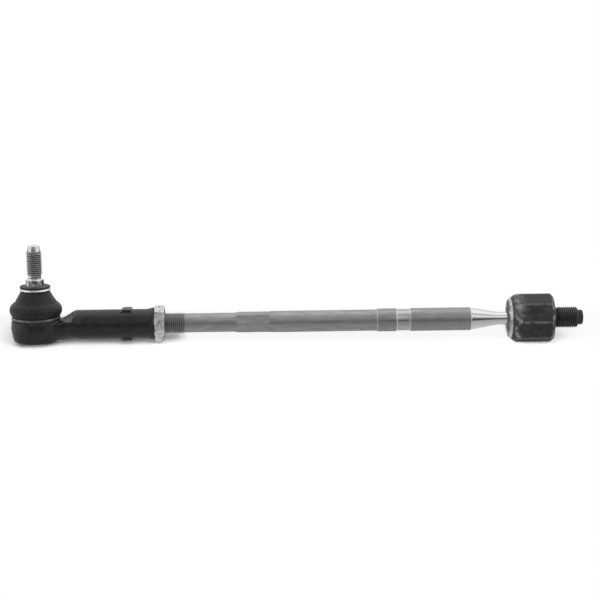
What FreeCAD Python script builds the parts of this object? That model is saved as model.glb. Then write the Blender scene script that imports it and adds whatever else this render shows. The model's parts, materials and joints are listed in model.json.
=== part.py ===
"""A car's steering tie rod: outer ball joint, lock nut, forged rod and inner ball joint, in millimetres.

Every piece is drawn in the rod's own frame, with the outer ball's centre at zero, +X along the rod
towards the inner joint and +Z along the ball stud. One placement then lays the assembly on the floor,
where it rests on the closing plate and on the lowest edge of the octagon.
"""
import FreeCAD, Part
import math
import os
import Sketcher

os.makedirs("parts", exist_ok=True)
doc = FreeCAD.newDocument("tie_rod")

# Driving sizes, one cell each. Lengths along the rod start at the outer ball's centre.
SIZES = {
    # Outer ball joint, heights and depths from the ball's centre
    "ball_radius": 11.0,
    "ball_flat_depth": 9.6,
    "ball_clearance": 0.1,
    "seat_wall": 1.4,
    "seat_top": 6.0,
    "seat_bottom": 8.6,
    "throat_height": 6.9,
    "mouth_radius": 12.2,
    "collar_radius": 16.0,
    "collar_top": 9.8,
    "collar_chamfer": 0.5,
    "flange_radius": 18.4,
    "flange_top": 4.6,
    "head_radius": 19.1,
    "head_widest_depth": 1.8,
    "head_foot_radius": 17.4,
    "head_foot_depth": 10.4,
    "head_corner": 5.6,
    "rim_radius": 13.4,
    "rim_depth": 15.0,
    "plate_sheet": 1.4,
    "plate_seat_depth": 11.2,
    "plate_cup_radius": 9.1,
    "plate_cup_depth": 15.5,
    "plate_bend": 0.7,
    "rim_clearance": 0.2,
    # Ball stud
    "shank_radius": 5.5,
    "shank_blend": 2.0,
    "taper_foot_radius": 7.4,
    "taper_foot_height": 22.0,
    "taper_top_radius": 6.7,
    "taper_length": 13.2,
    "taper_chamfer": 0.4,
    "undercut_radius": 4.75,
    "undercut_length": 3.4,
    "stud_thread_radius": 6.0,
    "stud_thread_length": 18.2,
    "stud_thread_chamfer": 1.1,
    "stud_nose_foot_radius": 4.85,
    "stud_nose_top_radius": 4.2,
    "stud_nose_length": 4.3,
    "stud_tip_chamfer": 0.3,
    # Dust boot and its two rings
    "boot_clearance": 0.1,
    "boot_wall": 1.8,
    "boot_inner_share": 0.7,
    "boot_bead_wall": 1.5,
    "boot_foot_overhang": 0.6,
    "boot_foot_height": 7.9,
    "boot_bulge_arc": 6.2,
    "boot_crease_radius": 16.5,
    "boot_crease_height": 17.4,
    "boot_waist_arc": 45.0,
    "boot_neck_radius": 11.1,
    "boot_neck_height": 26.2,
    "boot_groove_depth": 0.6,
    "boot_groove_rise": 0.9,
    "boot_lip_overhang": 0.4,
    "boot_lip_thickness": 1.4,
    "boot_lip_round": 0.5,
    "lower_ring_rise": 0.7,
    "lower_ring_height": 1.9,
    "lower_ring_thickness": 0.7,
    "upper_ring_height": 1.6,
    "upper_ring_thickness": 1.0,
    "ring_chamfer": 0.25,
    # Neck and threaded sleeve of the outer housing
    "neck_ring_clearance": 0.7,
    "neck_root": 7.1,
    "neck_shelf_length": 0.4,
    "neck_rise_length": 8.0,
    "neck_blend_length": 5.5,
    "neck_root_half_width": 12.6,
    "neck_root_edge": 2.6,
    "neck_root_belly": 13.2,
    "neck_shelf_half_width": 11.9,
    "neck_shelf_edge": 3.4,
    "neck_shelf_rise": 0.5,
    "neck_shelf_belly": 11.7,
    "neck_rise_edge": 4.4,
    "neck_crown_drop": 1.15,
    "neck_waist": 0.65,
    "sleeve_radius": 11.15,
    "sleeve_split_height": 4.0,
    "sleeve_end": 89.1,
    "sleeve_flare": 1.2,
    "sleeve_flare_length": 4.6,
    "sleeve_edge_chamfer": 0.4,
    "bore_clearance": 0.05,
    "bore_depth": 49.1,
    "bore_drill_point": 4.6,
    "bore_chamfer": 1.0,
    "lug_setback": 15.9,
    "lug_length": 10.8,
    "lug_lead": 3.2,
    "lug_tail": 1.0,
    "lug_rise": 0.95,
    "lug_root": 3.0,
    "lug_half_width": 5.7,
    # Lock nut
    "nut_gap": 0.1,
    "nut_height": 8.0,
    "nut_across_flats": 24.0,
    "nut_chamfer_length": 1.0,
    "nut_face_inset": 0.3,
    "nut_bore_chamfer": 0.8,
    "nut_turn": -11.0,
    # Rod, from its hidden end in the sleeve to the inner ball
    "thread_engagement": 37.1,
    "spare_thread": 14.8,
    "rod_thread_radius": 8.0,
    "rod_thread_chamfer": 1.2,
    "front_shaft_radius": 7.25,
    "front_shaft_length": 37.3,
    "hex_length": 28.8,
    "hex_blend": 3.8,
    "hex_across_flats": 14.0,
    "hex_turn": -5.0,
    "rear_shaft_radius": 8.1,
    "rear_shaft_length": 79.8,
    "band_radius": 8.72,
    "band_chamfer": 0.7,
    "front_band_length": 14.7,
    "groove_length": 11.0,
    "groove_depth": 0.57,
    "groove_ramp": 1.1,
    "rear_band_length": 45.8,
    "polished_step": 0.37,
    "polished_step_length": 0.5,
    "polished_length": 18.2,
    "polished_end_radius": 5.2,
    "rod_blend_arc": 32.0,
    "rod_blend_length": 5.6,
    "rod_neck_radius": 4.7,
    "rod_neck_length": 17.8,
    # Inner ball joint, lengths from the ball's centre
    "inner_ball_radius": 12.7,
    "inner_seat_wall": 1.4,
    "inner_seat_reach": 8.6,
    "inner_seat_floor": 1.3,
    "lip_reach": 12.7,
    "lip_mouth_radius": 11.7,
    "lip_edge_radius": 14.2,
    "lip_round": 1.6,
    "lip_length": 3.2,
    "lip_foot_radius": 16.5,
    "throat_radius": 10.5,
    "shoulder_reach": 4.0,
    "shoulder_arc": 8.0,
    "octagon_reach": 21.2,
    "octagon_across_flats": 34.7,
    "octagon_chamfer_length": 2.2,
    "octagon_face_inset": 0.8,
    "rack_thread_radius": 8.0,
    "rack_thread_length": 19.1,
    "rack_thread_chamfer": 1.1,
    "rack_pilot_radius": 5.6,
    "rack_pilot_length": 4.0,
    "rack_pilot_chamfer": 0.6,
}

sheet = doc.addObject("Spreadsheet::Sheet", "sizes")
for row, (alias, number) in enumerate(SIZES.items(), start=1):
    sheet.set(f"A{row}", alias)
    sheet.set(f"B{row}", str(number))
    sheet.setAlias(f"B{row}", alias)
doc.recompute()


class Size:
    """A length with its number and its formula, so that a sketch is drawn and bound by one expression."""

    def __init__(self, number, formula):
        self.number = number
        self.formula = formula

    def join(self, other, sign, number):
        other = as_size(other)
        return Size(number(self.number, other.number), f"({self.formula} {sign} {other.formula})")

    def __add__(self, other):
        return self.join(other, "+", lambda a, b: a + b)

    def __sub__(self, other):
        return self.join(other, "-", lambda a, b: a - b)

    def __mul__(self, other):
        return self.join(other, "*", lambda a, b: a * b)

    def __truediv__(self, other):
        return self.join(other, "/", lambda a, b: a / b)

    def __neg__(self):
        return Size(-self.number, f"(0 - {self.formula})")


def as_size(value):
    """Take a plain number as a Size."""
    if isinstance(value, Size):
        return value
    return Size(float(value), f"({float(value)!r})")


def size(alias):
    """Read one driving size from the sheet."""
    return Size(float(sheet.get(alias)), f"sizes.{alias}")


def root(value):
    """Square root of a Size."""
    return Size(math.sqrt(value.number), f"sqrt({value.formula})")


def chord_height(radius, offset):
    """Half the chord of a circle at an offset from its centre."""
    return root(radius * radius - offset * offset)


ZERO = as_size(0)
# How far a cut runs past the face that it opens.
CUT_MARGIN = as_size(1)


class Arc:
    """A bent edge: its radius, the side its centre lies on (1 is left) and whether it goes the long way."""

    def __init__(self, radius, side, far=False):
        self.radius = as_size(radius)
        self.side = side
        self.far = far


def new_body(name):
    """Start one piece of the assembly."""
    body = doc.addObject("PartDesign::Body", name)
    body.Label = name
    return body


def origin_plane(body, role):
    """Find one of the body's own origin planes."""
    return next(part for part in body.Origin.OriginFeatures if part.Role == role)


def new_sketch(body, name, role, offset=ZERO):
    """Start a sketch on an origin plane of its body, moved along the plane's normal."""
    sketch = body.newObject("Sketcher::SketchObject", name)
    sketch.AttachmentSupport = [(origin_plane(body, role), "")]
    sketch.MapMode = "FlatFace"
    if offset is not ZERO:
        sketch.setExpression("AttachmentOffset.Base.z", offset.formula)
    return sketch


def arc_between(first, last, arc):
    """Make the circular edge from one corner to the next, and say which of its ends is the first."""
    chord = last - first
    reach = math.sqrt(max(arc.radius.number ** 2 - (chord.Length / 2) ** 2, 0.0))
    normal = FreeCAD.Vector(-chord.y, chord.x, 0).normalize() * arc.side
    centre = (first + last) * 0.5 + normal * reach
    circle = Part.Circle(centre, FreeCAD.Vector(0, 0, 1), arc.radius.number)
    first_angle = math.atan2(first.y - centre.y, first.x - centre.x)
    last_angle = math.atan2(last.y - centre.y, last.x - centre.x)
    if (arc.side > 0) != arc.far:
        return Part.ArcOfCircle(circle, first_angle, last_angle), 1
    return Part.ArcOfCircle(circle, last_angle, first_angle), 2


def bind(sketch, constraint, name, formula):
    """Add one dimension to a sketch and tie it to the sheet."""
    index = sketch.addConstraint(constraint)
    sketch.renameConstraint(index, name)
    sketch.setExpression(f"Constraints.{name}", formula)


def draw(sketch, corners, tag=""):
    """Draw a closed outline. A corner is (x, y) or (x, y, Arc), the arc running to the next corner."""
    places = [(as_size(corner[0]), as_size(corner[1])) for corner in corners]
    points = [FreeCAD.Vector(x.number, y.number, 0) for x, y in places]
    edges = []
    for index, corner in enumerate(corners):
        first = points[index]
        last = points[(index + 1) % len(points)]
        if len(corner) == 3:
            geometry, start = arc_between(first, last, corner[2])
        else:
            geometry, start = Part.LineSegment(first, last), 1
        edges.append((sketch.addGeometry(geometry), start))
    for index, (edge, start) in enumerate(edges):
        following, following_start = edges[(index + 1) % len(edges)]
        sketch.addConstraint(Sketcher.Constraint("Coincident", edge, 3 - start, following, following_start))
    for index, (edge, start) in enumerate(edges):
        x, y = places[index]
        if x is ZERO:
            sketch.addConstraint(Sketcher.Constraint("PointOnObject", edge, start, -2))
        else:
            across = Sketcher.Constraint("DistanceX", -1, 1, edge, start, x.number)
            bind(sketch, across, f"x{tag}{index}", x.formula)
        if y is ZERO:
            sketch.addConstraint(Sketcher.Constraint("PointOnObject", edge, start, -1))
        else:
            along = Sketcher.Constraint("DistanceY", -1, 1, edge, start, y.number)
            bind(sketch, along, f"y{tag}{index}", y.formula)
        if len(corners[index]) == 3:
            radius = corners[index][2].radius
            round_edge = Sketcher.Constraint("Radius", edge, radius.number)
            bind(sketch, round_edge, f"r{tag}{index}", radius.formula)


def turned(body, name, corners, axis, kind="Revolution"):
    """Revolve an outline about the rod's axis (H_Axis) or the stud's (V_Axis). A Groove cuts it away."""
    sketch = new_sketch(body, name + "_profile", "XZ_Plane")
    draw(sketch, corners)
    feature = body.newObject("PartDesign::" + kind, name)
    feature.Profile = sketch
    feature.ReferenceAxis = (sketch, [axis])
    feature.Angle = 360
    return feature


def extruded(body, name, sketch, length, kind="Pad"):
    """Pad or pocket a sketch by a bound length."""
    feature = body.newObject("PartDesign::" + kind, name)
    feature.Profile = sketch
    feature.Type = "Length"
    feature.setExpression("Length", length.formula)
    return feature


def polygon_corners(sides, across_flats, turn):
    """Corners of a regular polygon round the rod, the first at an angle from the side facing -Y."""
    radius = across_flats * (0.5 / math.cos(math.pi / sides))
    corners = []
    for side in range(sides):
        angle = math.radians(turn + 360.0 * side / sides)
        corners.append((radius * -math.cos(angle), radius * math.sin(angle)))
    return corners


def split_circle(sides, radius, turn):
    """A circle in as many arcs as a polygon has sides, so that the two can be lofted."""
    corners = []
    for side in range(sides):
        angle = math.radians(turn + 360.0 * side / sides)
        corners.append((radius * -math.cos(angle), radius * math.sin(angle), Arc(radius, -1)))
    return corners


def lofted(body, name, outlines, ruled):
    """Loft through outlines on planes across the rod, each given as (distance, corners)."""
    sketches = []
    for index, (distance, corners) in enumerate(outlines):
        sketch = new_sketch(body, f"{name}_section_{index + 1}", "YZ_Plane", distance)
        draw(sketch, corners)
        sketches.append(sketch)
    feature = body.newObject("PartDesign::AdditiveLoft", name)
    feature.Profile = sketches[0]
    feature.Sections = sketches[1:]
    feature.Ruled = ruled
    return feature


# The nut and the wrench flats are hexagons. The inner housing is an octagon with one corner up.
HEXAGON_SIDES = 6
OCTAGON_SIDES = 8
OCTAGON_TURN = 90.0

# Radii that two pieces share, each worked out once.
SEAT_INSIDE = size("ball_radius") + size("ball_clearance")
SEAT_OUTSIDE = SEAT_INSIDE + size("seat_wall")
SOCKET_RADIUS = SEAT_OUTSIDE + size("ball_clearance")
INNER_SEAT_INSIDE = size("inner_ball_radius") + size("ball_clearance")
INNER_SEAT_OUTSIDE = INNER_SEAT_INSIDE + size("inner_seat_wall")
INNER_SOCKET_RADIUS = INNER_SEAT_OUTSIDE + size("ball_clearance")
THREAD_BORE = size("rod_thread_radius") + size("bore_clearance")
BEAD_INSIDE = size("collar_radius") + size("boot_clearance")
BEAD_OUTSIDE = BEAD_INSIDE + size("boot_bead_wall")
BOOT_FOOT_RADIUS = BEAD_OUTSIDE + size("boot_foot_overhang")
LOWER_RING_OUTSIDE = BEAD_OUTSIDE + size("boot_clearance") + size("lower_ring_thickness")
UPPER_GROOVE_RADIUS = size("boot_neck_radius") - size("boot_groove_depth")
OCTAGON_CORNER = size("octagon_across_flats") * (0.5 / math.cos(math.pi / OCTAGON_SIDES))

# Heights up the stud and the boot, each from the one below it.
TAPER_TOP = size("taper_foot_height") + size("taper_length")
STUD_THREAD_FOOT = TAPER_TOP + size("undercut_length")
STUD_THREAD_TOP = STUD_THREAD_FOOT + size("stud_thread_length")
STUD_TIP = STUD_THREAD_TOP + size("stud_nose_length")
LOWER_RING_FOOT = size("flange_top") + size("lower_ring_rise")
LOWER_GROOVE_TOP = LOWER_RING_FOOT + size("lower_ring_height") + size("boot_clearance")
UPPER_GROOVE_FOOT = size("boot_neck_height") + size("boot_groove_rise")
UPPER_RING_FOOT = UPPER_GROOVE_FOOT + size("boot_clearance")
UPPER_GROOVE_TOP = UPPER_RING_FOOT + size("upper_ring_height") + size("boot_clearance")
LIP_TOP = UPPER_GROOVE_TOP + size("boot_lip_thickness")

# Stations along the rod, each from the one before it. The neck rises only past the lower ring.
NECK_BASE = LOWER_RING_OUTSIDE + size("neck_ring_clearance")
NECK_ROOT = NECK_BASE - size("neck_root")
NECK_SHELF = NECK_BASE + size("neck_shelf_length")
NECK_RISE = NECK_SHELF + size("neck_rise_length")
SLEEVE_START = NECK_RISE + size("neck_blend_length")
SLEEVE_END = size("sleeve_end")
NUT_START = SLEEVE_END + size("nut_gap")
NUT_END = NUT_START + size("nut_height")
ROD_START = SLEEVE_END - size("thread_engagement")
ROD_THREAD_END = NUT_END + size("spare_thread")
HEX_START = ROD_THREAD_END + size("front_shaft_length")
HEX_END = HEX_START + size("hex_length")
REAR_SHAFT_END = HEX_END + size("rear_shaft_length")
GROOVE_START = REAR_SHAFT_END + size("front_band_length")
GROOVE_END = GROOVE_START + size("groove_length")
BAND_END = GROOVE_END + size("rear_band_length")
POLISHED_END = BAND_END + size("polished_length")
ROD_NECK_START = POLISHED_END + size("rod_blend_length")
INNER_CENTRE = ROD_NECK_START + size("rod_neck_length")
LIP_START = INNER_CENTRE - size("lip_reach")
SHOULDER_END = INNER_CENTRE - size("shoulder_reach")
OCTAGON_END = INNER_CENTRE + size("octagon_reach")
RACK_THREAD_END = OCTAGON_END + size("rack_thread_length")
RACK_TIP = RACK_THREAD_END + size("rack_pilot_length")


def taper_radius(height):
    """Radius of the stud's taper at a height."""
    drop = size("taper_foot_radius") - size("taper_top_radius")
    return size("taper_foot_radius") - drop * ((height - size("taper_foot_height")) / size("taper_length"))


def neck_section(half_width, edge, crown, belly):
    """A forged section: an arched top and a round belly that meet at an edge on each side."""
    rise = crown - edge
    sink = belly + edge
    top = (half_width * half_width + rise * rise) / (rise * 2)
    bottom = (half_width * half_width + sink * sink) / (sink * 2)
    deep = sink.number > half_width.number
    return [(-half_width, edge, Arc(top, -1)), (half_width, edge, Arc(bottom, 1 if deep else -1, deep))]


def make_outer_housing():
    """Forged head with its ball socket, the neck, and the sleeve threaded on the rod."""
    body = new_body("outer_housing")
    head = [
        (ZERO, -size("rim_depth")),
        (size("rim_radius"), -size("rim_depth"), Arc(size("head_corner"), 1)),
        (size("head_foot_radius"), -size("head_foot_depth")),
        (size("head_radius"), -size("head_widest_depth")),
        (size("flange_radius"), size("flange_top")),
        (size("collar_radius"), size("flange_top")),
        (size("collar_radius"), size("collar_top") - size("collar_chamfer")),
        (size("collar_radius") - size("collar_chamfer"), size("collar_top")),
        (ZERO, size("collar_top")),
    ]
    turned(body, "head", head, "V_Axis")
    rise_radius = size("sleeve_radius") - size("neck_waist")
    outlines = [
        (NECK_ROOT, neck_section(size("neck_root_half_width"), size("neck_root_edge"),
                                 size("flange_top") - size("neck_shelf_rise") / 2, size("neck_root_belly"))),
        (NECK_SHELF, neck_section(size("neck_shelf_half_width"), size("neck_shelf_edge"),
                                  size("flange_top") + size("neck_shelf_rise"), size("neck_shelf_belly"))),
        (NECK_RISE, neck_section(size("sleeve_radius"), size("neck_rise_edge"),
                                 size("sleeve_radius") - size("neck_crown_drop"), rise_radius)),
    ]
    split_width = chord_height(size("sleeve_radius"), size("sleeve_split_height"))
    sleeve_circle = [
        (-split_width, size("sleeve_split_height"), Arc(size("sleeve_radius"), -1)),
        (split_width, size("sleeve_split_height"), Arc(size("sleeve_radius"), 1, True)),
    ]
    outlines.append((SLEEVE_START, sleeve_circle))
    lofted(body, "neck", outlines, False)
    flare_radius = size("sleeve_radius") + size("sleeve_flare")
    sleeve = [
        (SLEEVE_START, ZERO),
        (SLEEVE_START, size("sleeve_radius")),
        (SLEEVE_END - size("sleeve_flare_length"), size("sleeve_radius")),
        (SLEEVE_END - size("sleeve_edge_chamfer"), flare_radius),
        (SLEEVE_END, flare_radius - size("sleeve_edge_chamfer")),
        (SLEEVE_END, ZERO),
    ]
    turned(body, "sleeve", sleeve, "H_Axis")
    lug_end = SLEEVE_END - size("lug_setback")
    lug_start = lug_end - size("lug_length")
    lug_top = size("sleeve_radius") + size("lug_rise")
    buried = size("sleeve_radius") - size("lug_root")
    for name, side in (("upper_lug", 1), ("lower_lug", -1)):
        sketch = new_sketch(body, name + "_profile", "XZ_Plane", -size("lug_half_width"))
        outline = [
            (lug_start, buried * side),
            (lug_start + size("lug_lead"), lug_top * side),
            (lug_end - size("lug_tail"), lug_top * side),
            (lug_end, buried * side),
        ]
        draw(sketch, outline)
        extruded(body, name, sketch, size("lug_half_width") * 2)
    throat_radius = chord_height(SOCKET_RADIUS, size("throat_height"))
    cup_mouth = size("plate_cup_radius") + size("rim_clearance")
    socket = [
        (ZERO, -size("rim_depth") - CUT_MARGIN),
        (cup_mouth, -size("rim_depth") - CUT_MARGIN),
        (cup_mouth, -size("plate_seat_depth") - size("plate_sheet")),
        (SOCKET_RADIUS, -size("plate_seat_depth") - size("plate_sheet")),
        (SOCKET_RADIUS, ZERO, Arc(SOCKET_RADIUS, 1)),
        (throat_radius, size("throat_height")),
        (size("mouth_radius"), size("collar_top")),
        (size("mouth_radius"), size("collar_top") + CUT_MARGIN),
        (ZERO, size("collar_top") + CUT_MARGIN),
    ]
    turned(body, "socket", socket, "V_Axis", "Groove")
    bore = [
        (SLEEVE_END - size("bore_depth") - size("bore_drill_point"), ZERO),
        (SLEEVE_END - size("bore_depth"), THREAD_BORE),
        (SLEEVE_END - size("bore_chamfer"), THREAD_BORE),
        (SLEEVE_END, THREAD_BORE + size("bore_chamfer")),
        (SLEEVE_END + CUT_MARGIN, THREAD_BORE + size("bore_chamfer")),
        (SLEEVE_END + CUT_MARGIN, ZERO),
    ]
    turned(body, "threaded_bore", bore, "H_Axis", "Groove")
    return body


def make_closing_plate():
    """Pressed steel cup, rolled into the foot of the head, on which the tie rod rests."""
    body = new_body("closing_plate")
    foot = size("plate_seat_depth") + size("plate_sheet")
    inside_radius = size("plate_cup_radius") - size("plate_sheet")
    inside_depth = size("plate_cup_depth") - size("plate_sheet")
    outline = [
        (ZERO, -size("plate_cup_depth")),
        (size("plate_cup_radius") - size("plate_bend"), -size("plate_cup_depth"), Arc(size("plate_bend"), 1)),
        (size("plate_cup_radius"), -size("plate_cup_depth") + size("plate_bend")),
        (size("plate_cup_radius"), -foot),
        (SOCKET_RADIUS, -foot),
        (SOCKET_RADIUS, -size("plate_seat_depth")),
        (inside_radius, -size("plate_seat_depth")),
        (inside_radius, -inside_depth),
        (ZERO, -inside_depth),
    ]
    turned(body, "pressed_cup", outline, "V_Axis")
    return body


def make_outer_ball_seat():
    """Plastic bearing shell between the outer ball and its socket."""
    body = new_body("outer_ball_seat")
    outline = [
        (chord_height(SEAT_INSIDE, size("seat_bottom")), -size("seat_bottom")),
        (SEAT_OUTSIDE, -size("seat_bottom")),
        (SEAT_OUTSIDE, ZERO, Arc(SEAT_OUTSIDE, 1)),
        (chord_height(SEAT_OUTSIDE, size("seat_top")), size("seat_top")),
        (chord_height(SEAT_INSIDE, size("seat_top")), size("seat_top"), Arc(SEAT_INSIDE, -1)),
    ]
    turned(body, "bearing_shell", outline, "V_Axis")
    return body


def make_ball_stud():
    """Ball, shank, taper, M12 thread and pilot nose, turned from one bar."""
    body = new_body("ball_stud")
    flat_radius = chord_height(size("ball_radius"), size("ball_flat_depth"))
    thread_root = size("stud_thread_radius") - size("stud_thread_chamfer")
    outline = [
        (ZERO, -size("ball_flat_depth")),
        (flat_radius, -size("ball_flat_depth"), Arc(size("ball_radius"), 1)),
        (size("shank_radius"), chord_height(size("ball_radius"), size("shank_radius"))),
        (size("shank_radius"), size("taper_foot_height") - size("shank_blend")),
        (size("taper_foot_radius"), size("taper_foot_height")),
        (size("taper_top_radius"), TAPER_TOP),
        (size("taper_top_radius") - size("taper_chamfer"), TAPER_TOP + size("taper_chamfer")),
        (size("undercut_radius"), TAPER_TOP + size("taper_chamfer")),
        (size("undercut_radius"), STUD_THREAD_FOOT),
        (size("stud_thread_radius"), STUD_THREAD_FOOT + size("stud_thread_chamfer")),
        (size("stud_thread_radius"), STUD_THREAD_TOP - size("stud_thread_chamfer")),
        (thread_root, STUD_THREAD_TOP),
        (size("stud_nose_foot_radius"), STUD_THREAD_TOP),
        (size("stud_nose_top_radius"), STUD_TIP - size("stud_tip_chamfer")),
        (size("stud_nose_top_radius") - size("stud_tip_chamfer"), STUD_TIP),
        (ZERO, STUD_TIP),
    ]
    turned(body, "turned_stud", outline, "V_Axis")
    return body


def make_dust_boot():
    """Moulded rubber boot, clamped on the head's collar and closed round the stud's taper."""
    body = new_body("dust_boot")
    gap = size("boot_clearance")
    wall = size("boot_wall")
    neck = size("boot_neck_radius")
    neck_height = size("boot_neck_height")
    lip_radius = neck + size("boot_lip_overhang")
    lip_round = size("boot_lip_round")
    outline = [
        (BEAD_INSIDE, size("flange_top") + gap),
        (BEAD_OUTSIDE, size("flange_top") + gap),
        (BEAD_OUTSIDE, LOWER_GROOVE_TOP),
        (BOOT_FOOT_RADIUS, size("boot_foot_height"), Arc(size("boot_bulge_arc"), 1)),
        (size("boot_crease_radius"), size("boot_crease_height"), Arc(size("boot_waist_arc"), -1)),
        (neck, neck_height),
        (UPPER_GROOVE_RADIUS, UPPER_GROOVE_FOOT),
        (UPPER_GROOVE_RADIUS, UPPER_GROOVE_TOP),
        (lip_radius, UPPER_GROOVE_TOP),
        (lip_radius, LIP_TOP - lip_round, Arc(lip_round, 1)),
        (lip_radius - lip_round, LIP_TOP),
        (taper_radius(LIP_TOP) + gap, LIP_TOP),
        (taper_radius(neck_height) + gap, neck_height),
        (neck - wall, neck_height, Arc(size("boot_waist_arc") + wall, 1)),
        (size("boot_crease_radius") - wall, size("boot_crease_height") - wall / 2,
         Arc(size("boot_bulge_arc") - wall * size("boot_inner_share"), -1)),
        (BEAD_INSIDE, size("boot_foot_height") + wall / 2),
    ]
    turned(body, "moulded_wall", outline, "V_Axis")
    return body


def make_ring(name, groove_radius, foot, family):
    """A steel band that clamps the boot in one of its grooves."""
    body = new_body(name)
    chamfer = size("ring_chamfer")
    height = size(family + "_height")
    inside = groove_radius + size("boot_clearance")
    outside = inside + size(family + "_thickness")
    outline = [
        (inside, foot),
        (outside - chamfer, foot),
        (outside, foot + chamfer),
        (outside, foot + height - chamfer),
        (outside - chamfer, foot + height),
        (inside, foot + height),
    ]
    turned(body, "band", outline, "V_Axis")
    return body


def make_lock_nut():
    """Thin hexagon nut, chamfered on both faces, tight against the sleeve."""
    body = new_body("lock_nut")
    sketch = new_sketch(body, "hexagon", "YZ_Plane", NUT_START)
    draw(sketch, polygon_corners(HEXAGON_SIDES, size("nut_across_flats"), SIZES["nut_turn"]))
    extruded(body, "blank", sketch, size("nut_height"))
    face_radius = size("nut_across_flats") / 2 - size("nut_face_inset")
    stock_radius = size("nut_across_flats")
    drop = size("nut_chamfer_length")
    corner_rise = size("nut_across_flats") * (0.5 / math.cos(math.pi / HEXAGON_SIDES)) - face_radius
    slope = (stock_radius - face_radius) / corner_rise
    for name, face, inward in (("front_chamfer", NUT_START, 1), ("rear_chamfer", NUT_END, -1)):
        outside = [
            (face - CUT_MARGIN * inward, face_radius),
            (face, face_radius),
            (face + drop * slope * inward, stock_radius),
            (face - CUT_MARGIN * inward, stock_radius),
        ]
        turned(body, name, outside, "H_Axis", "Groove")
    chamfer = size("nut_bore_chamfer")
    bore = [
        (NUT_START - CUT_MARGIN, ZERO),
        (NUT_START - CUT_MARGIN, THREAD_BORE + chamfer),
        (NUT_START, THREAD_BORE + chamfer),
        (NUT_START + chamfer, THREAD_BORE),
        (NUT_END - chamfer, THREAD_BORE),
        (NUT_END, THREAD_BORE + chamfer),
        (NUT_END + CUT_MARGIN, THREAD_BORE + chamfer),
        (NUT_END + CUT_MARGIN, ZERO),
    ]
    turned(body, "threaded_bore", bore, "H_Axis", "Groove")
    return body


def make_rod():
    """Rolled thread, shaft with its forged wrench hexagon, bellows groove, polished taper and inner ball."""
    body = new_body("rod")
    thread = size("rod_thread_radius")
    shaft = size("front_shaft_radius")
    chamfer = size("rod_thread_chamfer")
    front = [
        (ROD_START, ZERO),
        (ROD_START, thread - chamfer),
        (ROD_START + chamfer, thread),
        (ROD_THREAD_END - (thread - shaft), thread),
        (ROD_THREAD_END, shaft),
        (HEX_START, shaft),
        (HEX_START, ZERO),
    ]
    turned(body, "front_shaft", front, "H_Axis")
    flats_start = HEX_START + size("hex_blend")
    flats_end = HEX_END - size("hex_blend")
    turn = SIZES["hex_turn"]
    hexagon = polygon_corners(HEXAGON_SIDES, size("hex_across_flats"), turn)
    round_front = split_circle(HEXAGON_SIDES, shaft, turn)
    round_rear = split_circle(HEXAGON_SIDES, size("rear_shaft_radius"), turn)
    lofted(body, "front_blend", [(HEX_START, round_front), (flats_start, hexagon)], True)
    flats = new_sketch(body, "wrench_hexagon", "YZ_Plane", flats_start)
    draw(flats, hexagon)
    extruded(body, "wrench_flats", flats, size("hex_length") - size("hex_blend") * 2)
    lofted(body, "rear_blend", [(flats_end, hexagon), (HEX_END, round_rear)], True)
    band = size("band_radius")
    groove = band - size("groove_depth")
    neck = size("rod_neck_radius")
    ball = size("inner_ball_radius")
    rear = [
        (HEX_END, ZERO),
        (HEX_END, size("rear_shaft_radius")),
        (REAR_SHAFT_END, size("rear_shaft_radius")),
        (REAR_SHAFT_END + size("band_chamfer"), band),
        (GROOVE_START, band),
        (GROOVE_START + size("groove_ramp"), groove),
        (GROOVE_END - size("groove_ramp"), groove),
        (GROOVE_END, band),
        (BAND_END, band),
        (BAND_END + size("polished_step_length"), band - size("polished_step")),
        (POLISHED_END, size("polished_end_radius"), Arc(size("rod_blend_arc"), 1)),
        (ROD_NECK_START, neck),
        (INNER_CENTRE - chord_height(ball, neck), neck, Arc(ball, -1)),
        (INNER_CENTRE + ball, ZERO),
    ]
    turned(body, "rear_shaft", rear, "H_Axis")
    return body


def make_inner_ball_seat():
    """Plastic bearing shell that wraps the inner ball from the rolled lip to the floor of the socket."""
    body = new_body("inner_ball_seat")
    centre = INNER_CENTRE
    reach = size("inner_seat_reach")
    back = centre + INNER_SEAT_INSIDE + size("inner_seat_floor")
    outline = [
        (centre - reach, chord_height(INNER_SEAT_INSIDE, reach)),
        (centre - reach, chord_height(INNER_SEAT_OUTSIDE, reach), Arc(INNER_SEAT_OUTSIDE, -1)),
        (centre, INNER_SEAT_OUTSIDE),
        (centre + INNER_SEAT_INSIDE / 2, INNER_SEAT_OUTSIDE),
        (back, INNER_SEAT_OUTSIDE / 2),
        (back, ZERO),
        (centre + INNER_SEAT_INSIDE, ZERO, Arc(INNER_SEAT_INSIDE, 1)),
        (centre, INNER_SEAT_INSIDE, Arc(INNER_SEAT_INSIDE, 1)),
    ]
    turned(body, "bearing_shell", outline, "H_Axis")
    return body


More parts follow.
